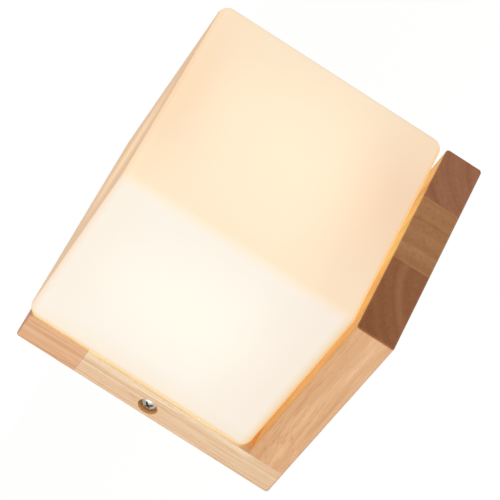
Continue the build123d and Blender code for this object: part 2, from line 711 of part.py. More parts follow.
def plate_earth_lead():
    """The lead from the plate's ring tag, through its own hole, to the middle pole."""
    y = plate_front - tag_barrel_height()
    start_z = fitter_z + PLATE_EARTH_SCREW_Z + TAG_NECK_LENGTH
    hole_z = fitter_z + EARTH_LEAD_HOLE_Z
    top = block_bottom + LEAD_IN_TERMINAL
    return lead("plate_earth_lead", [
        (0, y, start_z),
        (0, y, hole_z),
        (0, barrel_y, hole_z),
        (-earth_lead_offset, barrel_y, hole_z + LEAD_HOLE_DIAMETER),
        (-earth_lead_offset, barrel_y, top),
    ])


def lead_bush():
    """The insulating bush where the leads pass the web."""
    outer = LEAD_HOLE_DIAMETER - 2 * FIT_CLEARANCE
    inner = LEAD_HOLE_DIAMETER - 2 * LEAD_BUSH_WALL
    sleeve = tube((0, pocket_floor, fitter_z), TO_ROOM, outer, inner, web_thickness)
    flange_outer = LEAD_HOLE_DIAMETER + 2 * LEAD_BUSH_FLANGE
    flange = tube((0, pocket_floor, fitter_z), TO_WALL, flange_outer, inner, LEAD_BUSH_FLANGE_THICKNESS)
    return sleeve + flange


def fitter_plate():
    """The white steel dish that centres the shade's mouth and carries the lampholder."""
    centre = (0, board_front, fitter_z)
    dish = rod(centre, TO_ROOM, 2 * plate_radius, PLATE_RIM_DEPTH)
    inner_start = (0, plate_front, fitter_z)
    dish -= rod(inner_start, TO_ROOM, 2 * (plate_radius - PLATE_THICKNESS), PLATE_RIM_DEPTH)
    dish -= rod(centre, TO_ROOM, LEAD_HOLE_DIAMETER - 2 * LEAD_BUSH_WALL, PLATE_THICKNESS)
    lead_hole = (0, board_front, fitter_z + EARTH_LEAD_HOLE_Z)
    dish -= rod(lead_hole, TO_ROOM, EARTH_LEAD_HOLE_DIAMETER, PLATE_THICKNESS)
    for point in fitter_screw_points(board_front):
        dish -= rod(point, TO_ROOM, FITTER_SCREW_DIAMETER + 2 * FIT_CLEARANCE, PLATE_THICKNESS)
    for x in (-STRAP_SCREW_SPACING / 2, STRAP_SCREW_SPACING / 2):
        start = (x, board_front, fitter_z)
        dish -= rod(start, TO_ROOM, STRAP_SCREW_DIAMETER + 2 * FIT_CLEARANCE, PLATE_THICKNESS)
    earth_hole = (0, board_front, fitter_z + PLATE_EARTH_SCREW_Z)
    dish -= rod(earth_hole, TO_ROOM, PLATE_EARTH_SCREW_DIAMETER + 2 * FIT_CLEARANCE, PLATE_THICKNESS)
    return dish


def bent_strip(points, thickness, bend_radius):
    """The side view of a bent strip: its outer line, thickened to the left, with rounded bends."""
    directions = []
    for (x0, y0), (x1, y1) in zip(points, points[1:]):
        directions.append(atan2(y1 - y0, x1 - x0))
    ends = [directions[0]] + directions + [directions[-1]]
    inner = []
    outer_radii = []
    inner_radii = []
    for (x, y), before, after in zip(points, ends, ends[1:]):
        middle = (before + after) / 2
        reach = thickness / cos((after - before) / 2)
        inner.append((x - reach * sin(middle), y + reach * cos(middle)))
        turns_left = after > before
        outer_radii.append(bend_radius if turns_left else bend_radius - thickness)
        inner_radii.append(bend_radius - thickness if turns_left else bend_radius)
    outer_line = FilletPolyline(*points, radius=outer_radii[1:-1])
    inner_line = FilletPolyline(*inner, radius=inner_radii[1:-1])
    caps = [Line(points[0], inner[0]), Line(points[-1], inner[-1])]
    return make_face([outer_line, inner_line] + caps)


def clip_outline():
    """A clip's outer line: X is the radius from the plate's axis, Y the height off the plate."""
    leaf_r = clip_foot_end()
    slope = radians(CLIP_RAMP_ANGLE)
    glass_inner_height = plate_front - (shade_back - SHADE_WALL)
    ramp_r = mouth_radius - CLIP_MOUTH_GAP * sin(slope)
    ramp_h = glass_inner_height + CLIP_MOUTH_GAP * cos(slope)
    leaf_h = ramp_h - (ramp_r - leaf_r) * tan(slope)
    bulge_r = mouth_radius + CLIP_BULGE
    bulge_h = ramp_h + (bulge_r - ramp_r) * tan(slope)
    return [
        (leaf_r - CLIP_FOOT_LENGTH, 0),
        (leaf_r, 0),
        (leaf_r, leaf_h),
        (bulge_r, bulge_h),
        (bulge_r - CLIP_TAIL_RETURN, bulge_h + CLIP_TAIL_LENGTH),
    ]


def spring_clips():
    """The bent steel clips that hold the shade's mouth from inside."""
    profile = bent_strip(clip_outline(), CLIP_THICKNESS, CLIP_BEND_RADIUS)
    strip = extrude(profile, amount=CLIP_WIDTH / 2, both=True)
    hole_r = fitter_screw_radius()
    hole = rod((hole_r, 0, 0), (0, 1, 0), FITTER_SCREW_DIAMETER + 2 * FIT_CLEARANCE, CLIP_THICKNESS)
    strip -= hole
    clips = []
    for angle in clip_places():
        outward = (cos(radians(angle)), 0, sin(radians(angle)))
        sideways = Vector(*outward).cross(Vector(*TO_ROOM))
        place = Plane(origin=(0, plate_front, fitter_z), x_dir=outward, z_dir=sideways)
        clips.append(place * strip)
    return clips


def fitter_screws():
    """The short screws through the clips and the plate into the back board."""
    one = pan_screw(FITTER_SCREW_DIAMETER, fitter_screw_length, FITTER_SCREW_HEAD_DIAMETER,
                    FITTER_SCREW_HEAD_HEIGHT)
    return [put(one, point, TO_ROOM) for point in fitter_screw_points(plate_front - CLIP_THICKNESS)]


def plate_earth_screw():
    """The screw that clamps the ring tag to the plate."""
    one = pan_screw(PLATE_EARTH_SCREW_DIAMETER, PLATE_EARTH_SCREW_LENGTH, FITTER_SCREW_HEAD_DIAMETER,
                    FITTER_SCREW_HEAD_HEIGHT)
    return put(one, (0, plate_front - TAG_THICKNESS, fitter_z + PLATE_EARTH_SCREW_Z), TO_ROOM)


def lampholder_strap():
    """The strap under the lampholder, with two ears that hold its flat sides."""
    half_length = STRAP_LENGTH / 2
    half_strap = STRAP_WIDTH / 2
    half_ear = STRAP_EAR_WIDTH / 2
    reach = HOLDER_DEPTH / 2 + FIT_CLEARANCE
    outside = reach + STRAP_THICKNESS
    strap = block_between((-half_length, strap_front, fitter_z - half_strap),
                          (half_length, plate_front, fitter_z + half_strap))
    strap += block_between((-half_ear, strap_front, fitter_z - outside),
                           (half_ear, plate_front, fitter_z + outside))
    for low, high in ((-outside, -reach), (reach, outside)):
        strap += block_between((-half_ear, strap_front - STRAP_EAR_LENGTH, fitter_z + low),
                               (half_ear, strap_front, fitter_z + high))
    for side in (-1, 1):
        lead_place = (side * PIN_SPACING / 2, plate_front, fitter_z)
        strap -= rod(lead_place, TO_ROOM, STRAP_LEAD_HOLE_DIAMETER, STRAP_THICKNESS)
        screw_place = (side * STRAP_SCREW_SPACING / 2, plate_front, fitter_z)
        strap -= rod(screw_place, TO_ROOM, STRAP_SCREW_DIAMETER + 2 * FIT_CLEARANCE, STRAP_THICKNESS)
    return strap


def lampholder_screws():
    """Two screws that hold the strap on the plate."""
    one = pan_screw(STRAP_SCREW_DIAMETER, STRAP_SCREW_LENGTH, STRAP_SCREW_HEAD_DIAMETER,
                    STRAP_SCREW_HEAD_HEIGHT)
    reach = STRAP_SCREW_SPACING / 2
    return [put(one, (x, strap_front, fitter_z), TO_ROOM) for x in (-reach, reach)]


def lampholder_body():
    """The ceramic lampholder, with a chamber, a pin slot and a lead way for each pin."""
    outline = RectangleRounded(HOLDER_WIDTH, HOLDER_DEPTH, HOLDER_CORNER_RADIUS)
    body = put(extrude(outline, amount=HOLDER_HEIGHT), (0, strap_front, fitter_z), TO_ROOM, RIGHT)
    front_edges = body.faces().sort_by(Axis.Y)[0].edges()
    body = fillet(front_edges, HOLDER_EDGE_RADIUS)
    chamber_rear = strap_front - HOLDER_BLIND_THICKNESS
    half_chamber = CONTACT_CHAMBER_WIDTH / 2
    half_deep = CONTACT_CHAMBER_DEPTH / 2
    half_slot = PIN_SLOT_WIDTH / 2
    half_slot_deep = PIN_SLOT_DEPTH / 2
    for side in (-1, 1):
        x = side * PIN_SPACING / 2
        body -= block_between((x - half_chamber, chamber_front, fitter_z - half_deep),
                              (x + half_chamber, chamber_rear, fitter_z + half_deep))
        body -= block_between((x - half_slot, holder_front, fitter_z - half_slot_deep),
                              (x + half_slot, chamber_front, fitter_z + half_slot_deep))
        lead_way = LEAD_DIAMETER + 2 * FIT_CLEARANCE
        body -= rod((x, strap_front, fitter_z), TO_ROOM, lead_way, HOLDER_BLIND_THICKNESS)
    return body


def lampholder_contacts():
    """A folded bronze spring for each pin."""
    rear = strap_front - HOLDER_BLIND_THICKNESS
    front = rear - CONTACT_LENGTH
    gap = PIN_DIAMETER / 2 + CONTACT_GRIP_CLEARANCE
    outside = gap + CONTACT_THICKNESS
    half_wide = CONTACT_WIDTH / 2
    contacts = []
    for side in (-1, 1):
        x = side * PIN_SPACING / 2
        whole = block_between((x - outside, front, fitter_z - half_wide),
                              (x + outside, rear, fitter_z + half_wide))
        hollow = block_between((x - gap, front, fitter_z - half_wide),
                               (x + gap, rear - CONTACT_THICKNESS, fitter_z + half_wide))
        contacts.append(whole - hollow)
    return contacts


def glass_shade():
    """The opal glass cube, one hollow shell with a round mouth in its rear face."""
    half = shade_width / 2
    w = SHADE_WALL
    outer = block_between((-half, shade_front, shade_bottom), (half, shade_back, shade_top))
    outer = fillet(outer.edges(), SHADE_EDGE_RADIUS)
    inner = block_between((-half + w, shade_front + w, shade_bottom + w),
                          (half - w, shade_back - w, shade_top - w))
    inner = fillet(inner.edges(), SHADE_EDGE_RADIUS - w)
    shade = outer - inner
    shade -= rod((0, shade_back, fitter_z), TO_ROOM, SHADE_MOUTH_DIAMETER, w)
    rims = shade.edges().filter_by(GeomType.CIRCLE)
    rims = [edge for edge in rims if abs(edge.radius - mouth_radius) < FIT_CLEARANCE]
    return fillet(rims, SHADE_MOUTH_EDGE_RADIUS)


def pin_loops(diameter):
    """The two wire loops of the pin lamp, at a given wire diameter."""
    leg = (PIN_LOOP_WIDTH - PIN_DIAMETER) / 2
    in_base = lamp_rear - PIN_IN_BASE
    bend = lamp_rear + PIN_LENGTH - PIN_LOOP_WIDTH / 2
    loops = []
    for side in (-1, 1):
        x = side * PIN_SPACING / 2
        down = Line((x, in_base, fitter_z - leg), (x, bend, fitter_z - leg))
        over = ThreePointArc((x, bend, fitter_z - leg), (x, bend + leg, fitter_z), (x, bend, fitter_z + leg))
        back = Line((x, bend, fitter_z + leg), (x, in_base, fitter_z + leg))
        route = Wire([down, over, back])
        section = Plane(origin=(x, in_base, fitter_z - leg), z_dir=TO_WALL) * Circle(diameter / 2)
        loops.append(sweep(section, path=route))
    return loops


def lamp_pins():
    """The two wire loops that plug into the lampholder."""
    return pin_loops(PIN_DIAMETER)


def lamp_base():
    """The moulded base of the lamp, with a spigot that enters the cover."""
    base = rod((0, lamp_rear, fitter_z), TO_ROOM, LAMP_BASE_DIAMETER, LAMP_BASE_LENGTH)
    base = chamfer(base.edges().sort_by(Axis.Y)[-1], LAMP_COVER_WALL)
    spigot = LAMP_COVER_DIAMETER - 2 * LAMP_COVER_WALL - 2 * FIT_CLEARANCE
    base += rod((0, cover_rear, fitter_z), TO_ROOM, spigot, LAMP_BASE_SPIGOT_LENGTH)
    leg = (PIN_LOOP_WIDTH - PIN_DIAMETER) / 2
    for side in (-1, 1):
        for z in (fitter_z - leg, fitter_z + leg):
            place = (side * PIN_SPACING / 2, lamp_rear, z)
            base -= rod(place, TO_ROOM, PIN_DIAMETER + 2 * FIT_CLEARANCE, PIN_IN_BASE)
    return base


def lamp_cover():
    """The opal cover of the lamp, a thin shell with a domed end."""
    outer = rod((0, cover_rear, fitter_z), TO_ROOM, LAMP_COVER_DIAMETER, LAMP_COVER_LENGTH)
    outer = fillet(outer.edges().sort_by(Axis.Y)[0], LAMP_COVER_END_RADIUS)
    inner_length = LAMP_COVER_LENGTH - LAMP_COVER_WALL
    inner = rod((0, cover_rear, fitter_z), TO_ROOM, LAMP_COVER_DIAMETER - 2 * LAMP_COVER_WALL, inner_length)
    inner = fillet(inner.edges().sort_by(Axis.Y)[0], LAMP_COVER_END_RADIUS - LAMP_COVER_WALL)
    return outer - inner


def lamp_led_post():
    """The square post inside the lamp that carries the light chips."""
    rear = cover_rear - LAMP_BASE_SPIGOT_LENGTH
    half = LED_POST_WIDTH / 2
    return block_between((-half, rear - LED_POST_LENGTH, fitter_z - half), (half, rear, fitter_z + half))


def lamp_leds():
    """The light chips, in rows on the post's four sides."""
    rear = cover_rear - LAMP_BASE_SPIGOT_LENGTH
    middle = rear - LED_POST_LENGTH / 2
    reach = LED_POST_WIDTH / 2 + LED_THICKNESS / 2
    chips = []
    for row in range(LED_ROWS):
        y = middle + (row - (LED_ROWS - 1) / 2) * LED_PITCH
        for side in (-1, 1):
            chips.append(Pos(side * reach, y, fitter_z) * Box(LED_THICKNESS, LED_WIDTH, LED_WIDTH))
            chips.append(Pos(0, y, fitter_z + side * reach) * Box(LED_WIDTH, LED_WIDTH, LED_THICKNESS))
    return chips


def side_screw_left():
    """The side screw on the left."""
    return side_screw(-1)


def side_screw_right():
    """The side screw on the right."""
    return side_screw(1)


PIECES = [
    back_board, shelf_board, shelf_dowels, shelf_screws,
    wall_bracket, cable_bush, earth_stud, earth_washer, earth_nut, earth_tags,
    side_screw_left, side_screw_right,
    terminal_block, terminal_barrels, terminal_clamp_screws, terminal_fixing_screws,
    live_lead, neutral_lead, bracket_earth_lead, plate_earth_lead, lead_bush,
    fitter_plate, spring_clips, fitter_screws, plate_earth_screw,
    lampholder_strap, lampholder_screws, lampholder_body, lampholder_contacts,
    glass_shade,
    lamp_base, lamp_pins, lamp_cover, lamp_led_post, lamp_leds,
]


def solids_of(shape):
    """The separate solids of a piece or of a group of pieces."""
    shapes = shape if isinstance(shape, list) else [shape]
    return [solid for one in shapes for solid in one.solids()]


def main():
    """Builds every piece and writes one file for each."""
    os.makedirs("parts", exist_ok=True)
    for piece in PIECES:
        solids = solids_of(piece())
        shape = solids[0] if len(solids) == 1 else Compound(solids)
        export_step(shape, f"parts/{piece.__name__}.step")


main()
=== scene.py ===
from collections import namedtuple
from math import cos, radians, sin, sqrt, tau
import bpy
from mathutils import Matrix, Vector


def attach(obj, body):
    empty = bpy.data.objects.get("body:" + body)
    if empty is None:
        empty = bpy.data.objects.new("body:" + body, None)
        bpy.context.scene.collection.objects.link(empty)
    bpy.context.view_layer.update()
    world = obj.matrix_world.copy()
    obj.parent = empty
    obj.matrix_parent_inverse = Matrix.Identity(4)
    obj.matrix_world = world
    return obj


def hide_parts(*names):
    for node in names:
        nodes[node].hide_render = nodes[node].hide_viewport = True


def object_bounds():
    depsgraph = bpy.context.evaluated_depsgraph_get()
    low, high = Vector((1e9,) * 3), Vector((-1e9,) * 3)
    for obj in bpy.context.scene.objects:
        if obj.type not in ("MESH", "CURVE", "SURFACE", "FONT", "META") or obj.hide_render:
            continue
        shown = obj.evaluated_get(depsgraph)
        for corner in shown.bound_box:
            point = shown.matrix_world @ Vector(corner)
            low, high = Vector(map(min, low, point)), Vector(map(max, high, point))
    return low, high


# A lit wall sconce: two glued wooden boards in an L with an opal glass cube in their corner.
# Metres. X runs to the right seen from the room, Y towards the wall, Z up, the wall plane is Y = 0.

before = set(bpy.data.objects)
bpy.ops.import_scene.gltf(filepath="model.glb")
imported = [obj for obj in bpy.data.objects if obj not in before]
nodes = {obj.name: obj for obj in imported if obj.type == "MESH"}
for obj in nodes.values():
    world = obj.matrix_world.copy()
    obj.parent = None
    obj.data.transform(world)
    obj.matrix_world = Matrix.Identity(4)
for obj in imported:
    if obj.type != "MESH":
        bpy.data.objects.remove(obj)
cad_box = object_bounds()
MM = 0.001

# Camera, fitted to the photograph's edges
CAMERA_PLACE = Vector((-0.89106, -1.15006, 0.11231))
CAMERA_RIGHT = Vector((0.37215, -0.39389, -0.84045))
CAMERA_UP = Vector((0.67801, -0.50304, 0.53596))
CAMERA_LENS = 235.03
SENSOR_WIDTH = 36.0
CLIP_NEAR = 0.01
CLIP_FAR = 100.0

# Light levels: a white matt face turned to the ambient light alone shows as AMBIENT_LEVEL
AMBIENT_LEVEL = 0.42
AMBIENT_COLOUR = (1.0, 0.99, 0.975)

# The two soft lamps outside, each placed from the middle of the sconce
OUTSIDE_LAMP_COLOUR = (0.965, 0.985, 1.0)
KEY_FROM_MIDDLE = Vector((-1.5, 0.12, 0.25))
KEY_POWER = 10.5
KEY_SIZE = 0.9
TOP_FROM_MIDDLE = Vector((0.2, -0.3, 1.6))
TOP_POWER = 1.6
TOP_SIZE = 1.2

# Floor. The lift is what it adds to its own shade in the picture, without any light on the object.
FLOOR_DROP = 0.24
FLOOR_SIZE = 12.0
FLOOR_ALBEDO = 0.8
FLOOR_DULL_SHARE = 0.98
FLOOR_ROUGHNESS = 0.9
FLOOR_LIFT = 0.66


def linear(red, green, blue):
    """A colour given in 8-bit display values, as linear values with alpha."""
    channels = []
    for value in (red, green, blue):
        v = value / 255
        channels.append(v / 12.92 if v <= 0.04045 else ((v + 0.055) / 1.055) ** 2.4)
    return (*channels, 1.0)


# Node graphs

# A range is the two ends of a smooth change: nothing at the first and all at the second, or the two values
# that follow them.

class Graph:
    """The node graph of one material, with short calls for the nodes that the materials share."""

    def __init__(self, name):
        self.material = bpy.data.materials.new(name)
        self.material.use_nodes = True
        self.tree = self.material.node_tree
        self.shader = self.tree.nodes["Principled BSDF"]

    def feed(self, socket, value):
        """Links a socket, or sets the socket's own value."""
        if isinstance(value, bpy.types.NodeSocket):
            self.tree.links.new(value, socket)
        else:
            socket.default_value = value

    def add(self, kind, **settings):
        """Adds a node and sets its own settings."""
        node = self.tree.nodes.new(kind)
        for key, value in settings.items():
            setattr(node, key, value)
        return node

    def set(self, **values):
        """Sets or links sockets of the surface shader, named with underscores for spaces."""
        for key, value in values.items():
            self.feed(self.shader.inputs[key.replace("_", " ")], value)

    def math(self, operation, a, b=0.0, c=0.0):
        """One math node."""
        node = self.add("ShaderNodeMath", operation=operation)
        self.feed(node.inputs[0], a)
        self.feed(node.inputs[1], b)
        self.feed(node.inputs[2], c)
        return node.outputs[0]

    def plus(self, a, b):
        """The sum of two numbers."""
        return self.math("ADD", a, b)

    def minus(self, a, b):
        """One number less another."""
        return self.math("SUBTRACT", a, b)

    def times(self, a, b):
        """The product of two numbers."""
        return self.math("MULTIPLY", a, b)

    def scaled(self, value, factor, offset):
        """A number times a factor, plus an offset."""
        return self.math("MULTIPLY_ADD", value, factor, offset)

    def larger(self, a, b):
        """The larger of two numbers."""
        return self.math("MAXIMUM", a, b)

    def size(self, value):
        """A number without its sign."""
        return self.math("ABSOLUTE", value)

    def squared(self, value):
        """The square of a number."""
        return self.math("POWER", value, 2)

    def other_share(self, share):
        """What a share leaves of the whole."""
        return self.math("SUBTRACT", 1.0, share)

    def span(self, a, b):
        """The length of a line from its two parts at right angles."""
        return self.math("SQRT", self.plus(self.squared(a), self.squared(b)))

    def split(self, vector):
        """The three components of a vector."""
        node = self.add("ShaderNodeSeparateXYZ")
        self.feed(node.inputs[0], vector)
        return node.outputs[0], node.outputs[1], node.outputs[2]

    def join(self, x, y, z):
        """A vector from three components."""
        node = self.add("ShaderNodeCombineXYZ")
        self.feed(node.inputs[0], x)
        self.feed(node.inputs[1], y)
        self.feed(node.inputs[2], z)
        return node.outputs[0]

    def place(self):
        """The place on the piece, in the shared frame at rest."""
        return self.add("ShaderNodeTexCoord").outputs["Object"]

    def facing(self):
        """The direction that the surface faces, in the shared frame at rest."""
        return self.add("ShaderNodeTexCoord").outputs["Normal"]

    def stretched(self, vector, x, y, z):
        """A vector scaled along each axis."""
        node = self.add("ShaderNodeVectorMath", operation="MULTIPLY")
        self.feed(node.inputs[0], vector)
        self.feed(node.inputs[1], (x, y, z))
        return node.outputs[0]

    def noise(self, vector, scale=1.0, detail=2.0, roughness=0.5):
        """A smooth noise value about 0.5."""
        node = self.add("ShaderNodeTexNoise")
        self.feed(node.inputs["Vector"], vector)
        self.feed(node.inputs["Scale"], scale)
        self.feed(node.inputs["Detail"], detail)
        self.feed(node.inputs["Roughness"], roughness)
        return node.outputs["Fac"]

    def grain_noise(self, vector, scales, detail=1.0, roughness=0.5):
        """A noise value with a scale across the vector's third component and another along it."""
        across, along = scales
        return self.noise(self.stretched(vector, across, across, along), detail=detail, roughness=roughness)

    def line_noise(self, place, detail=2.0):
        """A smooth noise value about 0.5 along a single number."""
        node = self.add("ShaderNodeTexNoise", noise_dimensions="1D")
        self.feed(node.inputs["W"], place)
        self.feed(node.inputs["Scale"], 1.0)
        self.feed(node.inputs["Detail"], detail)
        return node.outputs["Fac"]

    def remap(self, value, low, high, to_low=0.0, to_high=1.0):
        """Maps a range smoothly onto another, held at its ends."""
        node = self.add("ShaderNodeMapRange", interpolation_type="SMOOTHSTEP")
        self.feed(node.inputs["Value"], value)
        self.feed(node.inputs["From Min"], low)
        self.feed(node.inputs["From Max"], high)
        self.feed(node.inputs["To Min"], to_low)
        self.feed(node.inputs["To Max"], to_high)
        return node.outputs["Result"]

    def mix(self, share, a, b, blend="MIX"):
        """A colour between two others."""
        node = self.add("ShaderNodeMix", data_type="RGBA", blend_type=blend)
        self.feed(node.inputs[0], share)
        self.feed(node.inputs[6], a)
        self.feed(node.inputs[7], b)
        return node.outputs[2]

    def product(self, colour, tint):
        """A colour times another, channel by channel."""
        return self.mix(1.0, colour, tint, "MULTIPLY")

    def tinted(self, share, colour, tint):
        """A colour that is multiplied by a tint to a share."""
        return self.mix(share, colour, self.product(colour, tint))

    def specular(self, level):
        """Sets the strength of the plain reflection."""
        self.shader.inputs["Specular IOR Level"].default_value = level

    def bump(self, height, distance, strength=1.0):
        """Gives the surface relief of a height in metres."""
        node = self.add("ShaderNodeBump")
        self.feed(node.inputs["Height"], height)
        self.feed(node.inputs["Distance"], distance)
        self.feed(node.inputs["Strength"], strength)
        self.tree.links.new(node.outputs[0], self.shader.inputs["Normal"])


def give(material, *names):
    """Puts a material on CAD nodes, in every slot of each."""
    for name in names:
        mesh = nodes[name].data
        mesh.materials.clear()
        mesh.materials.append(material)


# Wood

# One strip of a board. It is two pieces butted end to end at a joint along the grain, below and above it,
# each with its display colour. End is the share of that colour on the end grain. The pith is where the
# centre of the tree was, across X and across the thickness. Rings are marked growth rings: radius, half
# width and tone, where a positive tone is darker.
Strip = namedtuple("Strip", "joint below above end pith rings")

# One board of strips that lie side by side, with their glue lines across X in edges. Seen_end is the board's
# end in the photograph, and end_from says how far a face turns along the grain before it is end grain.
# Tints: arris is for the edges that face the room, partly sanding wear and partly painted light and shade
# where the glass's glow falls on them; in_gap is painted light, the glass's glow on the rim of the face by
# the glass;
# and beside is painted light, the glass's glow on the side faces, where beside_from is where it begins and
# where it is whole, in Y. Fade is how much lighter the board is at its front end, and how much darker by the
# wall.
Board = namedtuple("Board", "edges strips seen_end end_from arris in_gap beside beside_from fade")

# Joints of strips that are one piece over the whole board, so that one of the colours is left out
BEFORE_BOARD = -200 * MM
PAST_BOARD = 200 * MM

BACK_BOARD = Board(
    edges=(-26 * MM, 9 * MM, 37 * MM),
    strips=(
        Strip(joint=35.2 * MM, below=(244, 207, 168), above=(236, 184, 141), end=(0.73, 0.50, 0.40),
              pith=(-75 * MM, 34 * MM),
              rings=((41 * MM, 0.8 * MM, 0.13), (47.5 * MM, 1.6 * MM, -0.08), (52 * MM, 1.6 * MM, 0.02))),
        Strip(joint=BEFORE_BOARD, below=None, above=(238, 204, 166), end=(0.80, 0.60, 0.44),
              pith=(10 * MM, 60 * MM),
              rings=((70 * MM, 1.5 * MM, 0.1), (64 * MM, 1 * MM, 0.1), (58 * MM, 2 * MM, 0.06))),
        Strip(joint=-14 * MM, below=(232, 190, 146), above=(244, 210, 170), end=(0.72, 0.50, 0.38),
              pith=(60 * MM, -55 * MM),
              rings=((55 * MM, 1.2 * MM, 0.1), (43 * MM, 2 * MM, -0.06), (49 * MM, 1.5 * MM, 0.08))),
        Strip(joint=PAST_BOARD, below=(243, 207, 166), above=None, end=(0.78, 0.58, 0.44),
              pith=(95 * MM, 20 * MM),
              rings=((60 * MM, 1 * MM, 0.1), (52 * MM, 2 * MM, 0.08), (44 * MM, 2 * MM, 0.06))),
    ),
    seen_end=65 * MM,
    end_from=(0.55, 0.95),
    # Edge tint, partly sanding wear and partly painted light where the glass's glow falls on the edges.
    arris=(1.05, 1.15, 1.30, 1.0),
    # Painted light: the next two tints are the glass's glow on the rim by the glass and on the side faces.
    in_gap=(0.99, 1.18, 1.46, 1.0),
    beside=(1.15, 1.33, 1.50, 1.0),
    beside_from=(-13.5 * MM, -16.8 * MM),
    fade=None,
)
SHELF_BOARD = Board(
    edges=(-12.5 * MM, 25 * MM),
    strips=(
        Strip(joint=BEFORE_BOARD, below=None, above=(243, 193, 147), end=(0.58, 0.37, 0.25),
              pith=(-11.5 * MM, -107.7 * MM),
              rings=((52.7 * MM, 2.6 * MM, -0.18), (61.5 * MM, 2.4 * MM, 0.08), (72 * MM, 8 * MM, 0.11))),
        Strip(joint=BEFORE_BOARD, below=None, above=(246, 206, 158), end=(0.805, 0.565, 0.412),
              pith=(-62 * MM, -62 * MM),
              rings=((75.5 * MM, 0.9 * MM, 0.14), (59.5 * MM, 2.2 * MM, -0.07), (66 * MM, 2 * MM, 0.05))),
        Strip(joint=-74 * MM, below=(242, 194, 152), above=(242, 194, 152), end=(0.685, 0.465, 0.38),
              pith=(60 * MM, -85 * MM),
              rings=((46.5 * MM, 3.2 * MM, 0.13), (41.5 * MM, 1.8 * MM, -0.06), (53 * MM, 1.6 * MM, 0.06))),
    ),
    seen_end=-131 * MM,
    end_from=(0.03, 0.2),
    # Edge tint, partly sanding wear and partly painted light where the glass's glow falls on the edges.
    arris=(0.98, 0.97, 0.94, 1.0),
    # Painted light: the glass's glow on the rim of the top face by the glass.
    in_gap=(0.92, 1.02, 0.88, 1.0),
    beside=None,
    beside_from=None,
    fade=0.034,
)

# Shifts that set the pattern of each glued piece apart from its neighbours'
STRIP_SHIFT = 1.7
UPPER_SHIFT = 7.31

# Fineness of each pattern of the grain, across it and along it
BEND_SCALES = (22, 14)
FIBRE_SCALES = (1500, 45)
STRAND_SCALES = (520, 14)
PALE_STRAND_SCALES = (640, 26)
PORE_SCALES = (2400, 190)
PORE_BELT_SCALES = (90, 20)
CLOUD_SCALES = (60, 16)

# How far the fibres and the rings sway, how much the rings drift along the grain, and the size of a ring
FIBRE_SWAY = 9 * MM
RING_SWAY = 6 * MM
RING_DRIFT = 0.05
RING_WIDTH = 5.0 * MM

# How much each pattern darkens the wood
RING_TONE = 0.08
RING_TONE_ON_END = 0.05
STRAND_TONE = 0.10
LONG_LINE_TONE = 0.16
FIBRE_TONE = 0.16
PORE_TONE = 0.17
PALE_STRAND_TONE = -0.07
CLOUD_TONE = 0.12

# Noise values between which each pattern comes in, with its own two ends where they aren't 0 and 1
RING_RANGE = (0.35, 0.72)
STRAND_RANGE = (0.5, 0.75)
PALE_STRAND_RANGE = (0.52, 0.7)
LONG_LINE_RANGE = (0.0, 0.09, 1.0, 0.0)
LONG_LINE_CLOUDS = (0.4, 0.62)
PORE_BELT_RANGE = (0.4, 0.6, 0.68, 0.6)
PORE_FULL = 0.76

# Powers of the light share in red, green and blue, which make darker wood redder
DARKENING = (0.85, 1.45, 2.15)

# Ranges of how far a face turns: off flat, to the room, to a side and to the glass
FLAT_TURN = (0.98, 0.8)
ROOM_TURN = (0.0, -0.3)
SIDE_TURN = (0.6, 0.9)
GLASS_TURN = (0.9, 0.99)

# Ranges in place: the fade along the shelf, the rim of the face by the glass that takes the painted glow, and
# where the side faces are without their painted glow at their foot. Their painted glow is weaker on the upper
# pieces.
FADE_SPAN = (-125 * MM, -25 * MM)
RIM_SIDES = (48 * MM, 52 * MM)
RIM_FRONT = (-122 * MM, -127 * MM)
BESIDE_FOOT = (-53 * MM, -45 * MM)
BESIDE_LOSS_ABOVE = -0.85

# Glue line at a joint, and the hole of the side screws, whose wall is painted a saturated orange: painted
# light that stands in for the light bounced about in it
GLUE_COLOUR = (150, 104, 66)
GLUE_HALF_WIDTH = 0.25 * MM
GLUE_SHARE = 0.25
SIDE_BORE_Y = -7.5 * MM
SIDE_BORE_RADIUS = 4.75 * MM
BORE_PAINTED_GLOW = (1.0, 0.56, 0.20, 1.0)
BORE_SHARE = 0.9

# Skin of the wood: the fibres make it rougher, and stand above the pores
WOOD_ROUGHNESS = 0.42
FIBRE_ROUGHNESS = 0.2
WOOD_SPECULAR = 0.35
FIBRE_HEIGHT = 0.5
WOOD_RELIEF = 0.04 * MM
WOOD_RELIEF_SHARE = 0.45


def by_strip(g, steps, values):
    """A number that is constant over each strip."""
    result = values[0]
    for step, before, after in zip(steps, values, values[1:]):
        result = g.scaled(step, after - before, result)
    return result


def colour_by_strip(g, steps, colours):
    """A linear colour that is constant over each strip."""
    result = colours[0]
    for step, colour in zip(steps, colours[1:]):
        result = g.mix(step, result, colour)
    return result


def marked_ring(g, steps, rings, radius):
    """One darker or paler growth ring in each strip."""
    middles, halves, tones = zip(*rings)
    off = g.size(g.minus(radius, by_strip(g, steps, middles)))
    inside = g.remap(g.math("DIVIDE", off, by_strip(g, steps, halves)), 0.0, 1.0, 1.0, 0.0)
    return g.times(inside, by_strip(g, steps, tones))


def growth_rings(g, board, steps, place, block, bend, end):
    """How dark the growth rings make the wood: fine ones all over and a few marked ones."""
    x, thick, along = place
    pith_x, pith_thick = zip(*[strip.pith for strip in board.strips])
    from_x = g.minus(x, by_strip(g, steps, pith_x))
    from_x = g.scaled(g.minus(along, board.seen_end), RING_DRIFT, from_x)
    from_thick = g.minus(thick, by_strip(g, steps, pith_thick))
    radius = g.scaled(g.minus(bend, 0.5), RING_SWAY, g.span(from_x, from_thick))
    marks = 0.0
    for rings in zip(*[strip.rings for strip in board.strips]):
        marks = g.plus(marks, marked_ring(g, steps, rings, radius))
    fine = g.remap(g.line_noise(g.math("DIVIDE", g.plus(radius, block), RING_WIDTH)), *RING_RANGE)
    return g.scaled(fine, g.scaled(end, RING_TONE_ON_END, RING_TONE), marks)


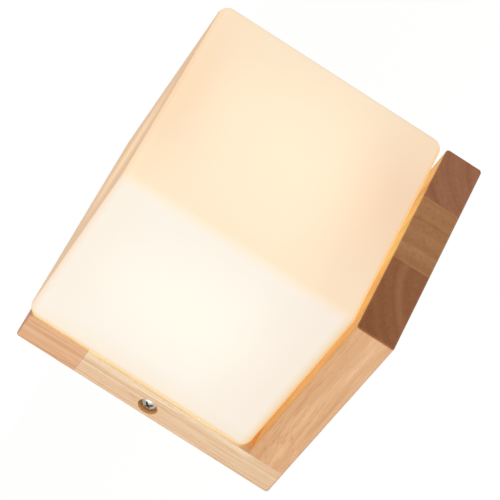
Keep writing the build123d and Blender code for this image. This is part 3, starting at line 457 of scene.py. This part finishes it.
def fibre_light(g, straight, waved, dark, end):
    """The light that the rings and the fine patterns leave, and the fibres and the pores themselves."""
    fibre = g.grain_noise(waved, FIBRE_SCALES, detail=2.0, roughness=0.6)
    strand = g.grain_noise(waved, STRAND_SCALES, detail=2.0)
    pale_strand = g.grain_noise(waved, PALE_STRAND_SCALES)
    cloud = g.grain_noise(straight, CLOUD_SCALES, detail=2.0)
    pore_start = g.remap(g.grain_noise(straight, PORE_BELT_SCALES), *PORE_BELT_RANGE)
    pores = g.remap(g.grain_noise(waved, PORE_SCALES), pore_start, PORE_FULL)
    long_line = g.remap(g.size(g.scaled(strand, 2.0, -1.0)), *LONG_LINE_RANGE)
    long_line = g.times(long_line, g.remap(cloud, *LONG_LINE_CLOUDS))

    dark = g.scaled(g.remap(strand, *STRAND_RANGE), STRAND_TONE, dark)
    dark = g.scaled(g.times(long_line, g.other_share(end)), LONG_LINE_TONE, dark)
    dark = g.scaled(g.minus(fibre, 0.5), FIBRE_TONE, dark)
    dark = g.scaled(pores, PORE_TONE, dark)
    dark = g.scaled(g.remap(pale_strand, *PALE_STRAND_RANGE), PALE_STRAND_TONE, dark)
    light = g.scaled(g.minus(cloud, 0.5), CLOUD_TONE, g.other_share(dark))
    return light, fibre, pores


def tint_edges(g, board, colour, upper, places, facings, to_glass):
    """The board's colour with the tints of its edges, partly sanding wear and partly painted light, and with
    the painted glow of the glass on the faces near it.
    """
    x, y, z = places
    nx, ny, nz = facings
    flat = g.larger(g.size(nx), g.larger(g.size(ny), g.size(nz)))
    # Partly sanding wear and partly painted light: the edges that face the room take a tint where the glass's
    # glow falls on them.
    sanded_and_glow_lit = g.times(g.remap(flat, *FLAT_TURN), g.remap(ny, *ROOM_TURN))
    colour = g.tinted(sanded_and_glow_lit, colour, board.arris)
    if board.beside:
        # Painted light: the side faces next to the glass are paler, standing in for the glass's glow on them.
        beside = g.times(g.remap(g.size(nx), *SIDE_TURN), g.remap(y, *board.beside_from))
        beside = g.times(beside, g.scaled(upper, BESIDE_LOSS_ABOVE, 1.0))
        beside = g.times(beside, g.remap(z, *BESIDE_FOOT))
        colour = g.tinted(beside, colour, board.beside)
    # Painted light: the rim of the faces turned to the glass is paler and yellower, standing in for the
    # glass's glow in the gap.
    near_rim = g.larger(g.remap(g.size(x), *RIM_SIDES), g.remap(y, *RIM_FRONT))
    in_gap = g.times(g.remap(to_glass, *GLASS_TURN), near_rim)
    return g.tinted(in_gap, colour, board.in_gap)


def wood(name, board, grain_axis):
    """Pale glued rubberwood, whose grain runs along Z on the back board and along Y on the shelf."""
    g = Graph(name)
    x, y, z = g.split(g.place())
    nx, ny, nz = g.split(g.facing())
    along, thick, end_facing = (z, y, nz) if grain_axis == "Z" else (y, z, ny)
    to_glass = g.times(ny, -1.0) if grain_axis == "Z" else nz
    steps = [g.math("GREATER_THAN", x, edge) for edge in board.edges]
    past_joint = g.minus(along, by_strip(g, steps, [strip.joint for strip in board.strips]))
    upper = g.math("GREATER_THAN", past_joint, 0.0)
    lower_tone = colour_by_strip(g, steps, [linear(*(strip.below or strip.above)) for strip in board.strips])
    upper_tone = colour_by_strip(g, steps, [linear(*(strip.above or strip.below)) for strip in board.strips])

    block = g.scaled(upper, UPPER_SHIFT, by_strip(g, steps, [STRIP_SHIFT * n for n in range(len(steps) + 1)]))
    across_x = g.plus(x, block)
    across_thick = g.plus(thick, block)
    straight = g.join(across_x, across_thick, along)
    bend = g.grain_noise(straight, BEND_SCALES)
    sway = g.times(g.minus(bend, 0.5), FIBRE_SWAY)
    waved = g.join(g.plus(across_x, sway), g.plus(across_thick, sway), along)
    in_bore = g.math("LESS_THAN", g.span(g.minus(y, SIDE_BORE_Y), z), SIDE_BORE_RADIUS)
    end = g.times(g.remap(g.size(end_facing), *board.end_from), g.other_share(in_bore))

    dark = growth_rings(g, board, steps, (x, thick, along), block, bend, end)
    light, fibre, pores = fibre_light(g, straight, waved, dark, end)
    if board.fade:
        fade = g.remap(y, *FADE_SPAN, board.fade, -board.fade)
        light = g.plus(light, g.times(fade, g.other_share(end)))
    shade = g.join(*[g.math("POWER", light, power) for power in DARKENING])
    colour = g.product(g.mix(upper, lower_tone, upper_tone), shade)
    colour = tint_edges(g, board, colour, upper, (x, y, z), (nx, ny, nz), to_glass)
    soaked = colour_by_strip(g, steps, [(*strip.end, 1.0) for strip in board.strips])
    colour = g.tinted(end, colour, soaked)
    glue = g.remap(g.size(past_joint), 0.0, GLUE_HALF_WIDTH, GLUE_SHARE, 0.0)
    colour = g.mix(glue, colour, linear(*GLUE_COLOUR))
    # Painted light: the wall of the side screws' hole takes a saturated orange for the light bounced about in
    # it.
    colour = g.mix(g.times(in_bore, BORE_SHARE), colour, BORE_PAINTED_GLOW)
    g.set(Base_Color=colour, Roughness=g.scaled(fibre, FIBRE_ROUGHNESS, WOOD_ROUGHNESS))
    g.specular(WOOD_SPECULAR)
    g.bump(g.minus(g.times(fibre, FIBRE_HEIGHT), pores), WOOD_RELIEF, WOOD_RELIEF_SHARE)
    return g.material


# Opal glass

# Light of the glass itself on each side of the cube, before any lamp outside adds to it
GLASS_FRONT = (0.830, 0.631, 0.406, 1.0)
GLASS_SIDE = (0.600, 0.520, 0.404, 1.0)
GLASS_TOP = (0.665, 0.380, 0.140, 1.0)
GLASS_TOP_EDGE = (0.440, 0.220, 0.040, 1.0)
GLASS_TOP_FAR = (0.400, 0.240, 0.120, 1.0)
GLASS_BOTTOM = (0.800, 0.660, 0.420, 1.0)
GLASS_BOTTOM_EDGE = (0.690, 0.580, 0.295, 1.0)
GLASS_BACK = (0.640, 0.540, 0.400, 1.0)
GLASS_BACK_EDGE = (1.080, 1.120, 1.020, 1.0)

# What multiplies that light on the rounded edges and at the foot of the side faces, as painted shade and
# warmth: dimmer and greyer on the right edge, warmer on the others and at the foot
GLASS_FRONT_TOP_ARRIS = (0.95, 0.85, 0.72, 1.0)
GLASS_SIDE_TOP_ARRIS = (1.15, 0.92, 0.76, 1.0)
GLASS_LOW_ARRIS = (1.0, 0.81, 0.42, 1.0)
GLASS_RIGHT_ARRIS = (0.88, 0.91, 0.95, 1.0)
GLASS_REAR_ARRIS = (0.93, 0.64, 0.10, 1.0)
GLASS_SIDE_FOOT = (1.04, 0.94, 0.82, 1.0)

# What the glass reflects of other light, and what it reflects at the foot of its sides and at its rear edge
GLASS_WHITE = (0.47, 0.47, 0.47, 1.0)
GLASS_WARM_WHITE = (0.46, 0.42, 0.34, 1.0)

# The lamp inside, and how the light falls off from it: two distances and the light at each
LAMP_CENTRE = (0.0, -80.5 * MM, 11 * MM)
FALL_OFF = (48 * MM, 78 * MM, 1.06, 0.925)

# Faint clouds in the glass: their scale, and how much light they take or add
GLASS_CLOUD_SCALE = 40
GLASS_CLOUD_LIGHT = (0.02, 0.99)

# Satin skin
GLASS_ROUGHNESS = 0.6
GLASS_CLOUD_ROUGHNESS = 0.1
GLASS_SPECULAR = 0.12
SATIN_SCALE = 3000
SATIN_RELIEF = 0.01 * MM
SATIN_RELIEF_SHARE = 0.3

# Ranges of how far a face turns to be the top, the bottom or one of the rounded edges
TOP_TURN = (0.90, 0.99)
BOTTOM_TURN = (-0.88, -0.99)
TOP_ARRIS_TURN = (0.45, 0.92)
LOW_ARRIS_TURN = (-0.55, -0.95)
REAR_ARRIS_TURN = (0.95, 0.8)
RIGHT_ARRIS_TURN = (0.25, 0.7)
RIGHT_FACE_TURN = (0.9, 1.0, 1.0, 0.0)

# Pools of light above and below the lamp, the dim far edges of the top, and the bright rim of the back
TOP_POOL = (4 * MM, 46 * MM)
BOTTOM_POOL = (4 * MM, 50 * MM)
TOP_RIGHT = (46 * MM, 55 * MM)
TOP_REAR = (-32 * MM, -20 * MM)
BACK_RIM = (42 * MM, 52 * MM)

# The dimmer and redder lower part, which is weaker near both sides of the front and on the side faces
LOW_SPAN = (-2 * MM, -40 * MM)
LOW_ON_LEFT = (-50 * MM, 10 * MM, 0.35, 1.0)
LOW_ON_RIGHT = (15 * MM, 50 * MM, 1.0, 0.6)
LOW_ON_SIDES = 0.6
LOW_LOSS = -0.13
LOW_RED = 0.05
LOW_WARMTH = 0.48

# The brighter part of the front by its left edge
LEFT_SPAN = (-12 * MM, -54 * MM)
LEFT_HEIGHTS = (-45 * MM, 5 * MM)
LEFT_GAIN = 0.06

# The warmer part under the top, strongest in the middle, and the one by the rear edge
HALF_WIDTH = 56 * MM
HIGH_SPAN = (40 * MM, 68 * MM)
HIGH_WARMTH = 0.72
HIGH_WARMTH_LOSS = -0.45
REAR_SPAN = (-42 * MM, -19 * MM, 0.0, 0.8)

# How much green and blue the warmth takes away
WARM_GREEN = -0.15
WARM_BLUE = -0.36

# Places of the foot of the side faces and of the rounded rear edge
FOOT_SPAN = (-39.5 * MM, -43 * MM)
REAR_ARRIS_SPAN = (-25 * MM, -21 * MM)


def front_share(g, nx, ny):
    """How much of a wall of the cube faces the room: 1 on the front, 0 on the sides and at the back."""
    level_out = g.larger(g.plus(g.squared(nx), g.squared(ny)), 0.001)
    return g.math("DIVIDE", g.squared(g.larger(g.times(ny, -1), 0)), level_out)


def low_share(g, x, z, front):
    """How much a place on the walls belongs to their dimmer lower part."""
    across = g.times(g.remap(x, *LOW_ON_LEFT), g.remap(x, *LOW_ON_RIGHT))
    on_front = g.times(front, across)
    on_sides = g.times(g.other_share(front), LOW_ON_SIDES)
    return g.times(g.remap(z, *LOW_SPAN), g.plus(on_front, on_sides))


def light_tint(g, place, front, back, low, cloud):
    """How bright and how warm the light of the walls is at a place."""
    x, y, z = g.split(place)
    away = g.add("ShaderNodeVectorMath", operation="DISTANCE")
    g.feed(away.inputs[0], place)
    g.feed(away.inputs[1], LAMP_CENTRE)
    level = g.remap(away.outputs["Value"], *FALL_OFF)
    by_left = g.times(g.remap(x, *LEFT_SPAN), g.remap(z, *LEFT_HEIGHTS))
    level = g.scaled(g.times(front, by_left), LEFT_GAIN, level)
    level = g.times(level, g.scaled(low, LOW_LOSS, 1.0))
    level = g.times(level, g.scaled(cloud, *GLASS_CLOUD_LIGHT))

    from_middle = g.math("DIVIDE", g.size(x), HALF_WIDTH)
    warm = g.times(g.remap(z, *HIGH_SPAN), g.scaled(from_middle, HIGH_WARMTH_LOSS, HIGH_WARMTH))
    warm = g.larger(warm, g.remap(y, *REAR_SPAN))
    warm = g.larger(warm, g.times(low, LOW_WARMTH))
    warm = g.times(warm, g.other_share(back))
    gains = ((low, LOW_RED), (warm, WARM_GREEN), (warm, WARM_BLUE))
    return g.join(*[g.times(level, g.scaled(share, gain, 1.0)) for share, gain in gains])


def opal_glass():
    """Satin opal glass lit from inside: brightest beside the lamp, dimmer and warmer towards its edges."""
    g = Graph("opal_glass")
    place = g.place()
    x, y, z = g.split(place)
    nx, ny, nz = g.split(g.facing())
    front = front_share(g, nx, ny)
    back = g.squared(g.larger(ny, 0))
    low = low_share(g, x, z, front)
    cloud = g.grain_noise(place, (GLASS_CLOUD_SCALE, GLASS_CLOUD_SCALE))

    off_axis = g.span(x, g.minus(y, LAMP_CENTRE[1]))
    from_axis = g.larger(g.size(x), g.size(g.minus(z, LAMP_CENTRE[2])))
    top_glow = g.mix(g.remap(off_axis, *TOP_POOL), GLASS_TOP, GLASS_TOP_EDGE)
    top_glow = g.mix(g.larger(g.remap(x, *TOP_RIGHT), g.remap(y, *TOP_REAR)), top_glow, GLASS_TOP_FAR)
    bottom_glow = g.mix(g.remap(off_axis, *BOTTOM_POOL), GLASS_BOTTOM, GLASS_BOTTOM_EDGE)
    back_glow = g.mix(g.remap(from_axis, *BACK_RIM), GLASS_BACK, GLASS_BACK_EDGE)
    glow = g.mix(front, GLASS_SIDE, GLASS_FRONT)
    glow = g.mix(back, glow, back_glow)
    glow = g.product(glow, light_tint(g, place, front, back, low, cloud))

    rear = g.times(g.remap(y, *REAR_ARRIS_SPAN), g.remap(ny, *REAR_ARRIS_TURN))
    right = g.times(g.remap(nx, *RIGHT_ARRIS_TURN), g.remap(nx, *RIGHT_FACE_TURN))
    foot = g.times(g.other_share(front), g.remap(z, *FOOT_SPAN))
    top_arris = g.mix(front, GLASS_SIDE_TOP_ARRIS, GLASS_FRONT_TOP_ARRIS)
    glow = g.tinted(g.remap(nz, *TOP_ARRIS_TURN), glow, top_arris)
    glow = g.tinted(foot, glow, GLASS_SIDE_FOOT)
    glow = g.tinted(g.remap(nz, *LOW_ARRIS_TURN), glow, GLASS_LOW_ARRIS)
    glow = g.tinted(right, glow, GLASS_RIGHT_ARRIS)
    glow = g.tinted(rear, glow, GLASS_REAR_ARRIS)
    glow = g.mix(g.remap(nz, *TOP_TURN), glow, top_glow)
    glow = g.mix(g.remap(nz, *BOTTOM_TURN), glow, bottom_glow)

    white = g.mix(g.larger(foot, rear), GLASS_WHITE, GLASS_WARM_WHITE)
    white = g.mix(back, white, GLASS_WHITE)
    g.set(Base_Color=white, Emission_Color=glow, Emission_Strength=1.0)
    g.set(Roughness=g.scaled(cloud, GLASS_CLOUD_ROUGHNESS, GLASS_ROUGHNESS))
    g.specular(GLASS_SPECULAR)
    satin = g.grain_noise(place, (SATIN_SCALE, SATIN_SCALE), detail=2.0)
    g.bump(satin, SATIN_RELIEF, SATIN_RELIEF_SHARE)
    return g.material


# Metals, plastics and the rest

# Tints of dull patches, where a piece has none of its own
METAL_DULL = (0.88, 0.88, 0.88, 1.0)
MOULDED_DULL = (0.94, 0.935, 0.92, 1.0)

# What scratches and dull patches of a metal, or the skin of a moulded or lit piece, add to the roughness
SCRATCH_ROUGHNESS = 0.15
DULL_ROUGHNESS = 0.12
SKIN_ROUGHNESS = 0.12
LIT_ROUGHNESS = 0.1

# Depth of the scratches, and of the skin of lit pieces and leads
SCRATCH_RELIEF = 0.02 * MM
LIT_RELIEF = 0.01 * MM
LEAD_RELIEF = 0.02 * MM

# The stripe of the earth leads: its turn along Z in radians per metre, its soft edge and its two colours
STRIPE_TURN = 180.0
STRIPE_EDGE = 0.12
STRIPE_GREEN = (44, 118, 52)
STRIPE_YELLOW = (226, 204, 40)


def metal(name, colour, roughness, scratch_scales, dull=METAL_DULL):
    """A bare or plated metal with fine scratches and dull patches."""
    g = Graph(name)
    place = g.place()
    patch = g.noise(place, scale=90, detail=4.0, roughness=0.6)
    scratch = g.noise(g.stretched(place, *scratch_scales), detail=3.0, roughness=0.65)
    share = g.remap(patch, 0.42, 0.72)
    g.set(Base_Color=g.tinted(share, linear(*colour), dull), Metallic=1.0)
    rough = g.scaled(scratch, SCRATCH_ROUGHNESS, roughness)
    g.set(Roughness=g.scaled(share, DULL_ROUGHNESS, rough))
    g.bump(scratch, SCRATCH_RELIEF, 0.35)
    return g.material


def moulded(name, colour, roughness, grain=900, relief=0.02, specular=0.5):
    """A moulded plastic, rubber or glazed piece with a fine skin and slight unevenness of colour."""
    g = Graph(name)
    place = g.place()
    skin = g.noise(place, scale=grain)
    patch = g.noise(place, scale=130)
    g.set(Base_Color=g.tinted(g.remap(patch, 0.35, 0.7), linear(*colour), MOULDED_DULL))
    g.set(Roughness=g.scaled(skin, SKIN_ROUGHNESS, roughness))
    g.specular(specular)
    g.bump(skin, relief * MM, 0.4)
    return g.material


def lit(name, colour, glow, strength, roughness):
    """A pale plastic that is lit from inside or gives light itself."""
    g = Graph(name)
    place = g.place()
    patch = g.noise(place, scale=260)
    level = g.scaled(patch, 0.12, 0.94)
    glow_colour = g.product(linear(*glow), g.join(level, level, level))
    g.set(Base_Color=linear(*colour), Emission_Color=glow_colour, Emission_Strength=strength)
    g.set(Roughness=g.scaled(patch, LIT_ROUGHNESS, roughness))
    g.bump(g.noise(place, scale=1500), LIT_RELIEF, 0.3)
    return g.material


def two_colour_lead():
    """Green insulation with a yellow stripe that winds slowly about the lead."""
    g = Graph("earth_lead_insulation")
    place = g.place()
    _, _, z = g.split(place)
    nx, ny, _ = g.split(g.facing())
    wound = g.scaled(z, STRIPE_TURN, g.math("ARCTAN2", nx, ny))
    stripe = g.remap(g.math("SINE", wound), -STRIPE_EDGE, STRIPE_EDGE)
    g.set(Base_Color=g.mix(stripe, linear(*STRIPE_GREEN), linear(*STRIPE_YELLOW)))
    skin = g.noise(place, scale=1300)
    g.set(Roughness=g.scaled(skin, 0.15, 0.38))
    g.bump(skin, LEAD_RELIEF, 0.3)
    return g.material


# Threaded pieces

# M4 threads, with the crest and root of the ridge that winds about the shank
THREAD_RADIUS = 2.0 * MM
THREAD_PITCH = 0.7 * MM
THREAD_DEPTH = 0.43 * MM
CREST_GAIN = 1.2
TIP_CHAMFER = 0.8 * MM
RINGS_PER_TURN = 12
SHANK_SEGMENTS = 48
SHARP_ANGLE = radians(40)

# Side screws. Each one's head seats on the floor of its counterbore in the back board.
BOARD_HALF_WIDTH = 55 * MM
COUNTERBORE_DEPTH = 2.9 * MM
SIDE_SCREW_SEAT_X = BOARD_HALF_WIDTH - COUNTERBORE_DEPTH
SIDE_SCREW_LENGTH = 14.0 * MM
LEFT_SCREW_TURN = radians(45)
RIGHT_SCREW_TURN = radians(-35)
HEAD_RADIUS = 3.8 * MM
HEAD_RIM_HEIGHT = 1.45 * MM
HEAD_CROWN_HEIGHT = 1.05 * MM
HEAD_SEGMENTS = 144
HEAD_RINGS = 48
RECESS_ARM_LENGTH = 2.4 * MM
RECESS_ARM_HALF = 0.46 * MM
RECESS_DEPTH = 1.5 * MM
RECESS_WALL = 0.18 * MM
RECESS_END_SLOPE = 2.2

# Earth stud, which starts at the wall plane
STUD_X = 16 * MM
STUD_Z = 9 * MM
STUD_LENGTH = 8 * MM
STUD_PLAIN_LENGTH = 2.2 * MM


def thread_radius(turn, height, tip):
    """Radius of the thread at a share of a turn and a height above the tip's end."""
    phase = (height / THREAD_PITCH - turn) % 1.0
    ridge = min(1.0, CREST_GAIN * (1 - abs(2 * phase - 1)))
    below_crest = max(0.0, TIP_CHAMFER - (height - tip))
    return min(THREAD_RADIUS - THREAD_DEPTH * (1 - ridge), THREAD_RADIUS - below_crest)


def thread_rings(tip, top, segments):
    """Rings of (radius, height) from the tip up a threaded shank."""
    count = round((top - tip) / THREAD_PITCH * RINGS_PER_TURN)
    rings = []
    for level in range(count + 1):
        height = tip + (top - tip) * level / count
        rings.append([(thread_radius(n / segments, height, tip), height) for n in range(segments)])
    return rings


def recess_depth(x, y):
    """Depth of the cross recess at a point of a screw head."""
    across = min(abs(x), abs(y))
    along = max(abs(x), abs(y))
    inside = min(1.0, max(0.0, (RECESS_ARM_HALF - across) / RECESS_WALL + 0.5))
    inside = inside * inside * (3 - 2 * inside)
    return RECESS_DEPTH * inside * min(1.0, max(0.0, RECESS_END_SLOPE * (1 - along / RECESS_ARM_LENGTH)))


def crown_height(radius):
    """Height of the domed crown above the rim at a radius."""
    ball = (HEAD_RADIUS ** 2 + HEAD_CROWN_HEIGHT ** 2) / (2 * HEAD_CROWN_HEIGHT)
    return sqrt(ball ** 2 - radius ** 2) - (ball - HEAD_CROWN_HEIGHT)


def head_rings(segments):
    """Rings of a domed head with a cross recess, from under its rim to near its middle."""
    rings = [[(HEAD_RADIUS, 0.0)] * segments, [(HEAD_RADIUS, HEAD_RIM_HEIGHT)] * segments]
    for level in range(HEAD_RINGS - 1, 0, -1):
        radius = HEAD_RADIUS * level / HEAD_RINGS
        height = HEAD_RIM_HEIGHT + crown_height(radius)
        ring = []
        for n in range(segments):
            angle = tau * n / segments
            ring.append((radius, height - recess_depth(radius * cos(angle), radius * sin(angle))))
        rings.append(ring)
    return rings


def ringed_piece(name, rings, seat, axis, turn, material):
    """A closed mesh through rings about an axis that starts at a seat."""
    segments = len(rings[0])
    verts = [(0.0, 0.0, rings[0][0][1])]
    for ring in rings:
        for n, (radius, height) in enumerate(ring):
            angle = tau * n / segments + turn
            verts.append((radius * cos(angle), radius * sin(angle), height))
    verts.append((0.0, 0.0, rings[-1][0][1]))
    last = len(verts) - 1
    faces = []
    for n in range(segments):
        after = (n + 1) % segments
        faces.append((0, 1 + after, 1 + n))
        faces.append((last, last - segments + n, last - segments + after))
        for level in range(len(rings) - 1):
            low = 1 + level * segments
            high = low + segments
            faces.append((low + n, low + after, high + after, high + n))
    mesh = bpy.data.meshes.new(name)
    mesh.from_pydata(verts, [], faces)
    upright = Vector(axis).to_track_quat("Z", "Y").to_matrix().to_4x4()
    mesh.transform(Matrix.Translation(seat) @ upright)
    mesh.shade_smooth()
    mesh.set_sharp_from_angle(angle=SHARP_ANGLE)
    mesh.materials.append(material)
    obj = bpy.data.objects.new(name, mesh)
    bpy.context.scene.collection.objects.link(obj)
    return obj


def side_screws():
    """The two side screws with threads and domed cross heads."""
    finish = metal("bright_nickel", (172, 166, 158), 0.12, (1500, 300, 300))
    shank = thread_rings(-SIDE_SCREW_LENGTH, 0.0, HEAD_SEGMENTS)
    head = head_rings(HEAD_SEGMENTS)
    for side, name, turn in ((-1, "left_screw", LEFT_SCREW_TURN), (1, "right_screw", RIGHT_SCREW_TURN)):
        seat = Vector((side * SIDE_SCREW_SEAT_X, SIDE_BORE_Y, 0.0))
        obj = ringed_piece("threaded_" + name, shank + head, seat, (side, 0, 0), turn, finish)
        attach(obj, name)
        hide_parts("side_screw_left" if side < 0 else "side_screw_right")


def thread_stud(material):
    """The earth stud, plain where it is pressed into the bracket and threaded where the nut runs."""
    rings = thread_rings(-STUD_LENGTH, -STUD_PLAIN_LENGTH, SHANK_SEGMENTS)
    rings.append([(THREAD_RADIUS, -STUD_PLAIN_LENGTH)] * SHANK_SEGMENTS)
    rings.append([(THREAD_RADIUS, 0.0)] * SHANK_SEGMENTS)
    obj = ringed_piece("threaded_earth_stud", rings, Vector((STUD_X, 0.0, STUD_Z)), (0, 1, 0), 0.0, material)
    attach(obj, "fixed_body")
    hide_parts("earth_stud")


# Finishes of the nodes

def dress_metals():
    """Gives the metal nodes their finishes."""
    zinc = metal("zinc_plated_steel", (188, 192, 196), 0.34, (300, 300, 2600), dull=(0.86, 0.88, 0.92, 1.0))
    give(zinc, "wall_bracket", "earth_washer", "shelf_screws", "terminal_fixing_screws", "fitter_screws",
         "lampholder_screws", "lampholder_strap")
    spring = metal("bright_spring_steel", (206, 208, 212), 0.22, (2400, 300, 300))
    give(spring, "spring_clips")
    brass = metal("bare_brass", (212, 176, 98), 0.24, (300, 300, 2000), dull=(0.8, 0.7, 0.55, 1.0))
    give(brass, "earth_nut", "terminal_barrels", "terminal_clamp_screws", "plate_earth_screw",
         "lampholder_contacts")
    thread_stud(brass)
    tin = metal("tinned_copper", (204, 202, 198), 0.3, (900, 900, 900))
    give(tin, "earth_tags", "lamp_pins")


def dress_insulators():
    """Gives the rubber, plastic, ceramic and dowel nodes their finishes, and the lit ones too."""
    give(moulded("black_rubber", (34, 34, 35), 0.7, specular=0.3), "cable_bush")
    give(moulded("bush_plastic", (236, 236, 230), 0.45), "lead_bush")
    give(moulded("milky_plastic", (232, 230, 220), 0.4), "terminal_block")
    give(moulded("brown_insulation", (96, 54, 32), 0.4, grain=1300), "live_lead")
    give(moulded("blue_insulation", (42, 88, 170), 0.4, grain=1300), "neutral_lead")
    give(two_colour_lead(), "bracket_earth_lead", "plate_earth_lead")
    give(moulded("white_enamel", (240, 240, 236), 0.28, grain=500, relief=0.03), "fitter_plate")
    give(moulded("glazed_ceramic", (242, 238, 228), 0.18, grain=240, relief=0.03), "lampholder_body")
    give(moulded("lamp_base_plastic", (240, 240, 236), 0.35), "lamp_base")
    give(moulded("beech_dowel", (214, 176, 128), 0.6, grain=1800, relief=0.05), "shelf_dowels")
    give(moulded("white_solder_mask", (236, 236, 236), 0.4), "lamp_led_post")
    give(lit("lamp_cover_plastic", (232, 224, 204), (255, 214, 166), 0.58, 0.35), "lamp_cover")
    give(lit("led_phosphor", (250, 226, 120), (255, 226, 160), 1.2, 0.45), "lamp_leds")


def dress_nodes():
    """Gives every CAD node its finish."""
    give(wood("back_board_wood", BACK_BOARD, "Z"), "back_board")
    give(wood("shelf_board_wood", SHELF_BOARD, "Y"), "shelf_board")
    give(opal_glass(), "glass_shade")
    side_screws()
    dress_metals()
    dress_insulators()


# Stage, lights and camera

def seen_directly(tree):
    """1 for what the camera sees, also in reflections or through glass, and 0 for light on other things."""
    path = tree.nodes.new("ShaderNodeLightPath")
    seen = path.outputs["Is Camera Ray"]
    for kind in ("Is Glossy Ray", "Is Transmission Ray"):
        either = tree.nodes.new("ShaderNodeMath")
        either.operation = "MAXIMUM"
        tree.links.new(seen, either.inputs[0])
        tree.links.new(path.outputs[kind], either.inputs[1])
        seen = either.outputs[0]
    return seen


def outside_light():
    """White to the camera and in reflections, and a dimmer even light on the object."""
    world = bpy.data.worlds.new("studio")
    world.use_nodes = True
    bpy.context.scene.world = world
    tree = world.node_tree
    ambient = tree.nodes["Background"]
    ambient.inputs["Color"].default_value = (*AMBIENT_COLOUR, 1.0)
    ambient.inputs["Strength"].default_value = AMBIENT_LEVEL
    white = tree.nodes.new("ShaderNodeBackground")
    white.inputs["Color"].default_value = (1.0, 1.0, 1.0, 1.0)
    white.inputs["Strength"].default_value = 1.0
    mixed = tree.nodes.new("ShaderNodeMixShader")
    tree.links.new(seen_directly(tree), mixed.inputs[0])
    tree.links.new(ambient.outputs[0], mixed.inputs[1])
    tree.links.new(white.outputs[0], mixed.inputs[2])
    tree.links.new(mixed.outputs[0], tree.nodes["World Output"].inputs["Surface"])


def floor_finish():
    """A pale matt floor that shows white to the camera and keeps the object's shadow, clear from below."""
    g = Graph("pale_floor")
    grain = g.noise(g.place(), scale=300)
    dull_albedo = FLOOR_ALBEDO * FLOOR_DULL_SHARE
    pale = (FLOOR_ALBEDO, FLOOR_ALBEDO, FLOOR_ALBEDO, 1.0)
    dull = (dull_albedo, dull_albedo, dull_albedo, 1.0)
    lift = g.times(seen_directly(g.tree), FLOOR_LIFT)
    g.set(Base_Color=g.mix(grain, pale, dull), Roughness=FLOOR_ROUGHNESS)
    g.set(Emission_Color=(1.0, 1.0, 1.0, 1.0), Emission_Strength=lift)
    g.specular(0.0)
    clear = g.add("ShaderNodeBsdfTransparent")
    sides = g.add("ShaderNodeMixShader")
    g.feed(sides.inputs[0], g.add("ShaderNodeNewGeometry").outputs["Backfacing"])
    g.feed(sides.inputs[1], g.shader.outputs[0])
    g.feed(sides.inputs[2], clear.outputs[0])
    g.feed(g.tree.nodes["Material Output"].inputs["Surface"], sides.outputs[0])
    return g.material


def floor():
    """The floor, well under the sconce, which hangs on its wall."""
    half = FLOOR_SIZE / 2
    z = cad_box[0].z - FLOOR_DROP
    mesh = bpy.data.meshes.new("floor")
    corners = [(-half, -half, z), (half, -half, z), (half, half, z), (-half, half, z)]
    mesh.from_pydata(corners, [], [(0, 1, 2, 3)])
    obj = bpy.data.objects.new("floor", mesh)
    obj.data.materials.append(floor_finish())
    bpy.context.scene.collection.objects.link(obj)


def area_light(name, place, target, size, power):
    """A soft square lamp that points at a target."""
    data = bpy.data.lights.new(name, "AREA")
    data.shape = "SQUARE"
    data.size = size
    data.energy = power
    data.color = OUTSIDE_LAMP_COLOUR
    obj = bpy.data.objects.new(name, data)
    obj.location = place
    obj.rotation_mode = "QUATERNION"
    obj.rotation_quaternion = (target - place).to_track_quat("-Z", "Y")
    bpy.context.scene.collection.objects.link(obj)


def lights():
    """The main soft lamp on the left of the sconce and a weak one above."""
    middle = (cad_box[0] + cad_box[1]) / 2
    area_light("key", middle + KEY_FROM_MIDDLE, middle, KEY_SIZE, KEY_POWER)
    area_light("top", middle + TOP_FROM_MIDDLE, middle, TOP_SIZE, TOP_POWER)


def camera():
    """The camera at the photograph's place, turned about its own axis as in the photograph."""
    data = bpy.data.cameras.new("camera")
    data.lens = CAMERA_LENS
    data.sensor_width = SENSOR_WIDTH
    data.clip_start = CLIP_NEAR
    data.clip_end = CLIP_FAR
    obj = bpy.data.objects.new("camera", data)
    back = CAMERA_RIGHT.cross(CAMERA_UP)
    turn = Matrix((CAMERA_RIGHT, CAMERA_UP, back)).transposed()
    obj.matrix_world = Matrix.Translation(CAMERA_PLACE) @ turn.to_4x4()
    bpy.context.scene.collection.objects.link(obj)
    bpy.context.scene.camera = obj


dress_nodes()
outside_light()
floor()
lights()
camera()
bpy.context.scene.view_settings.view_transform = "Standard"
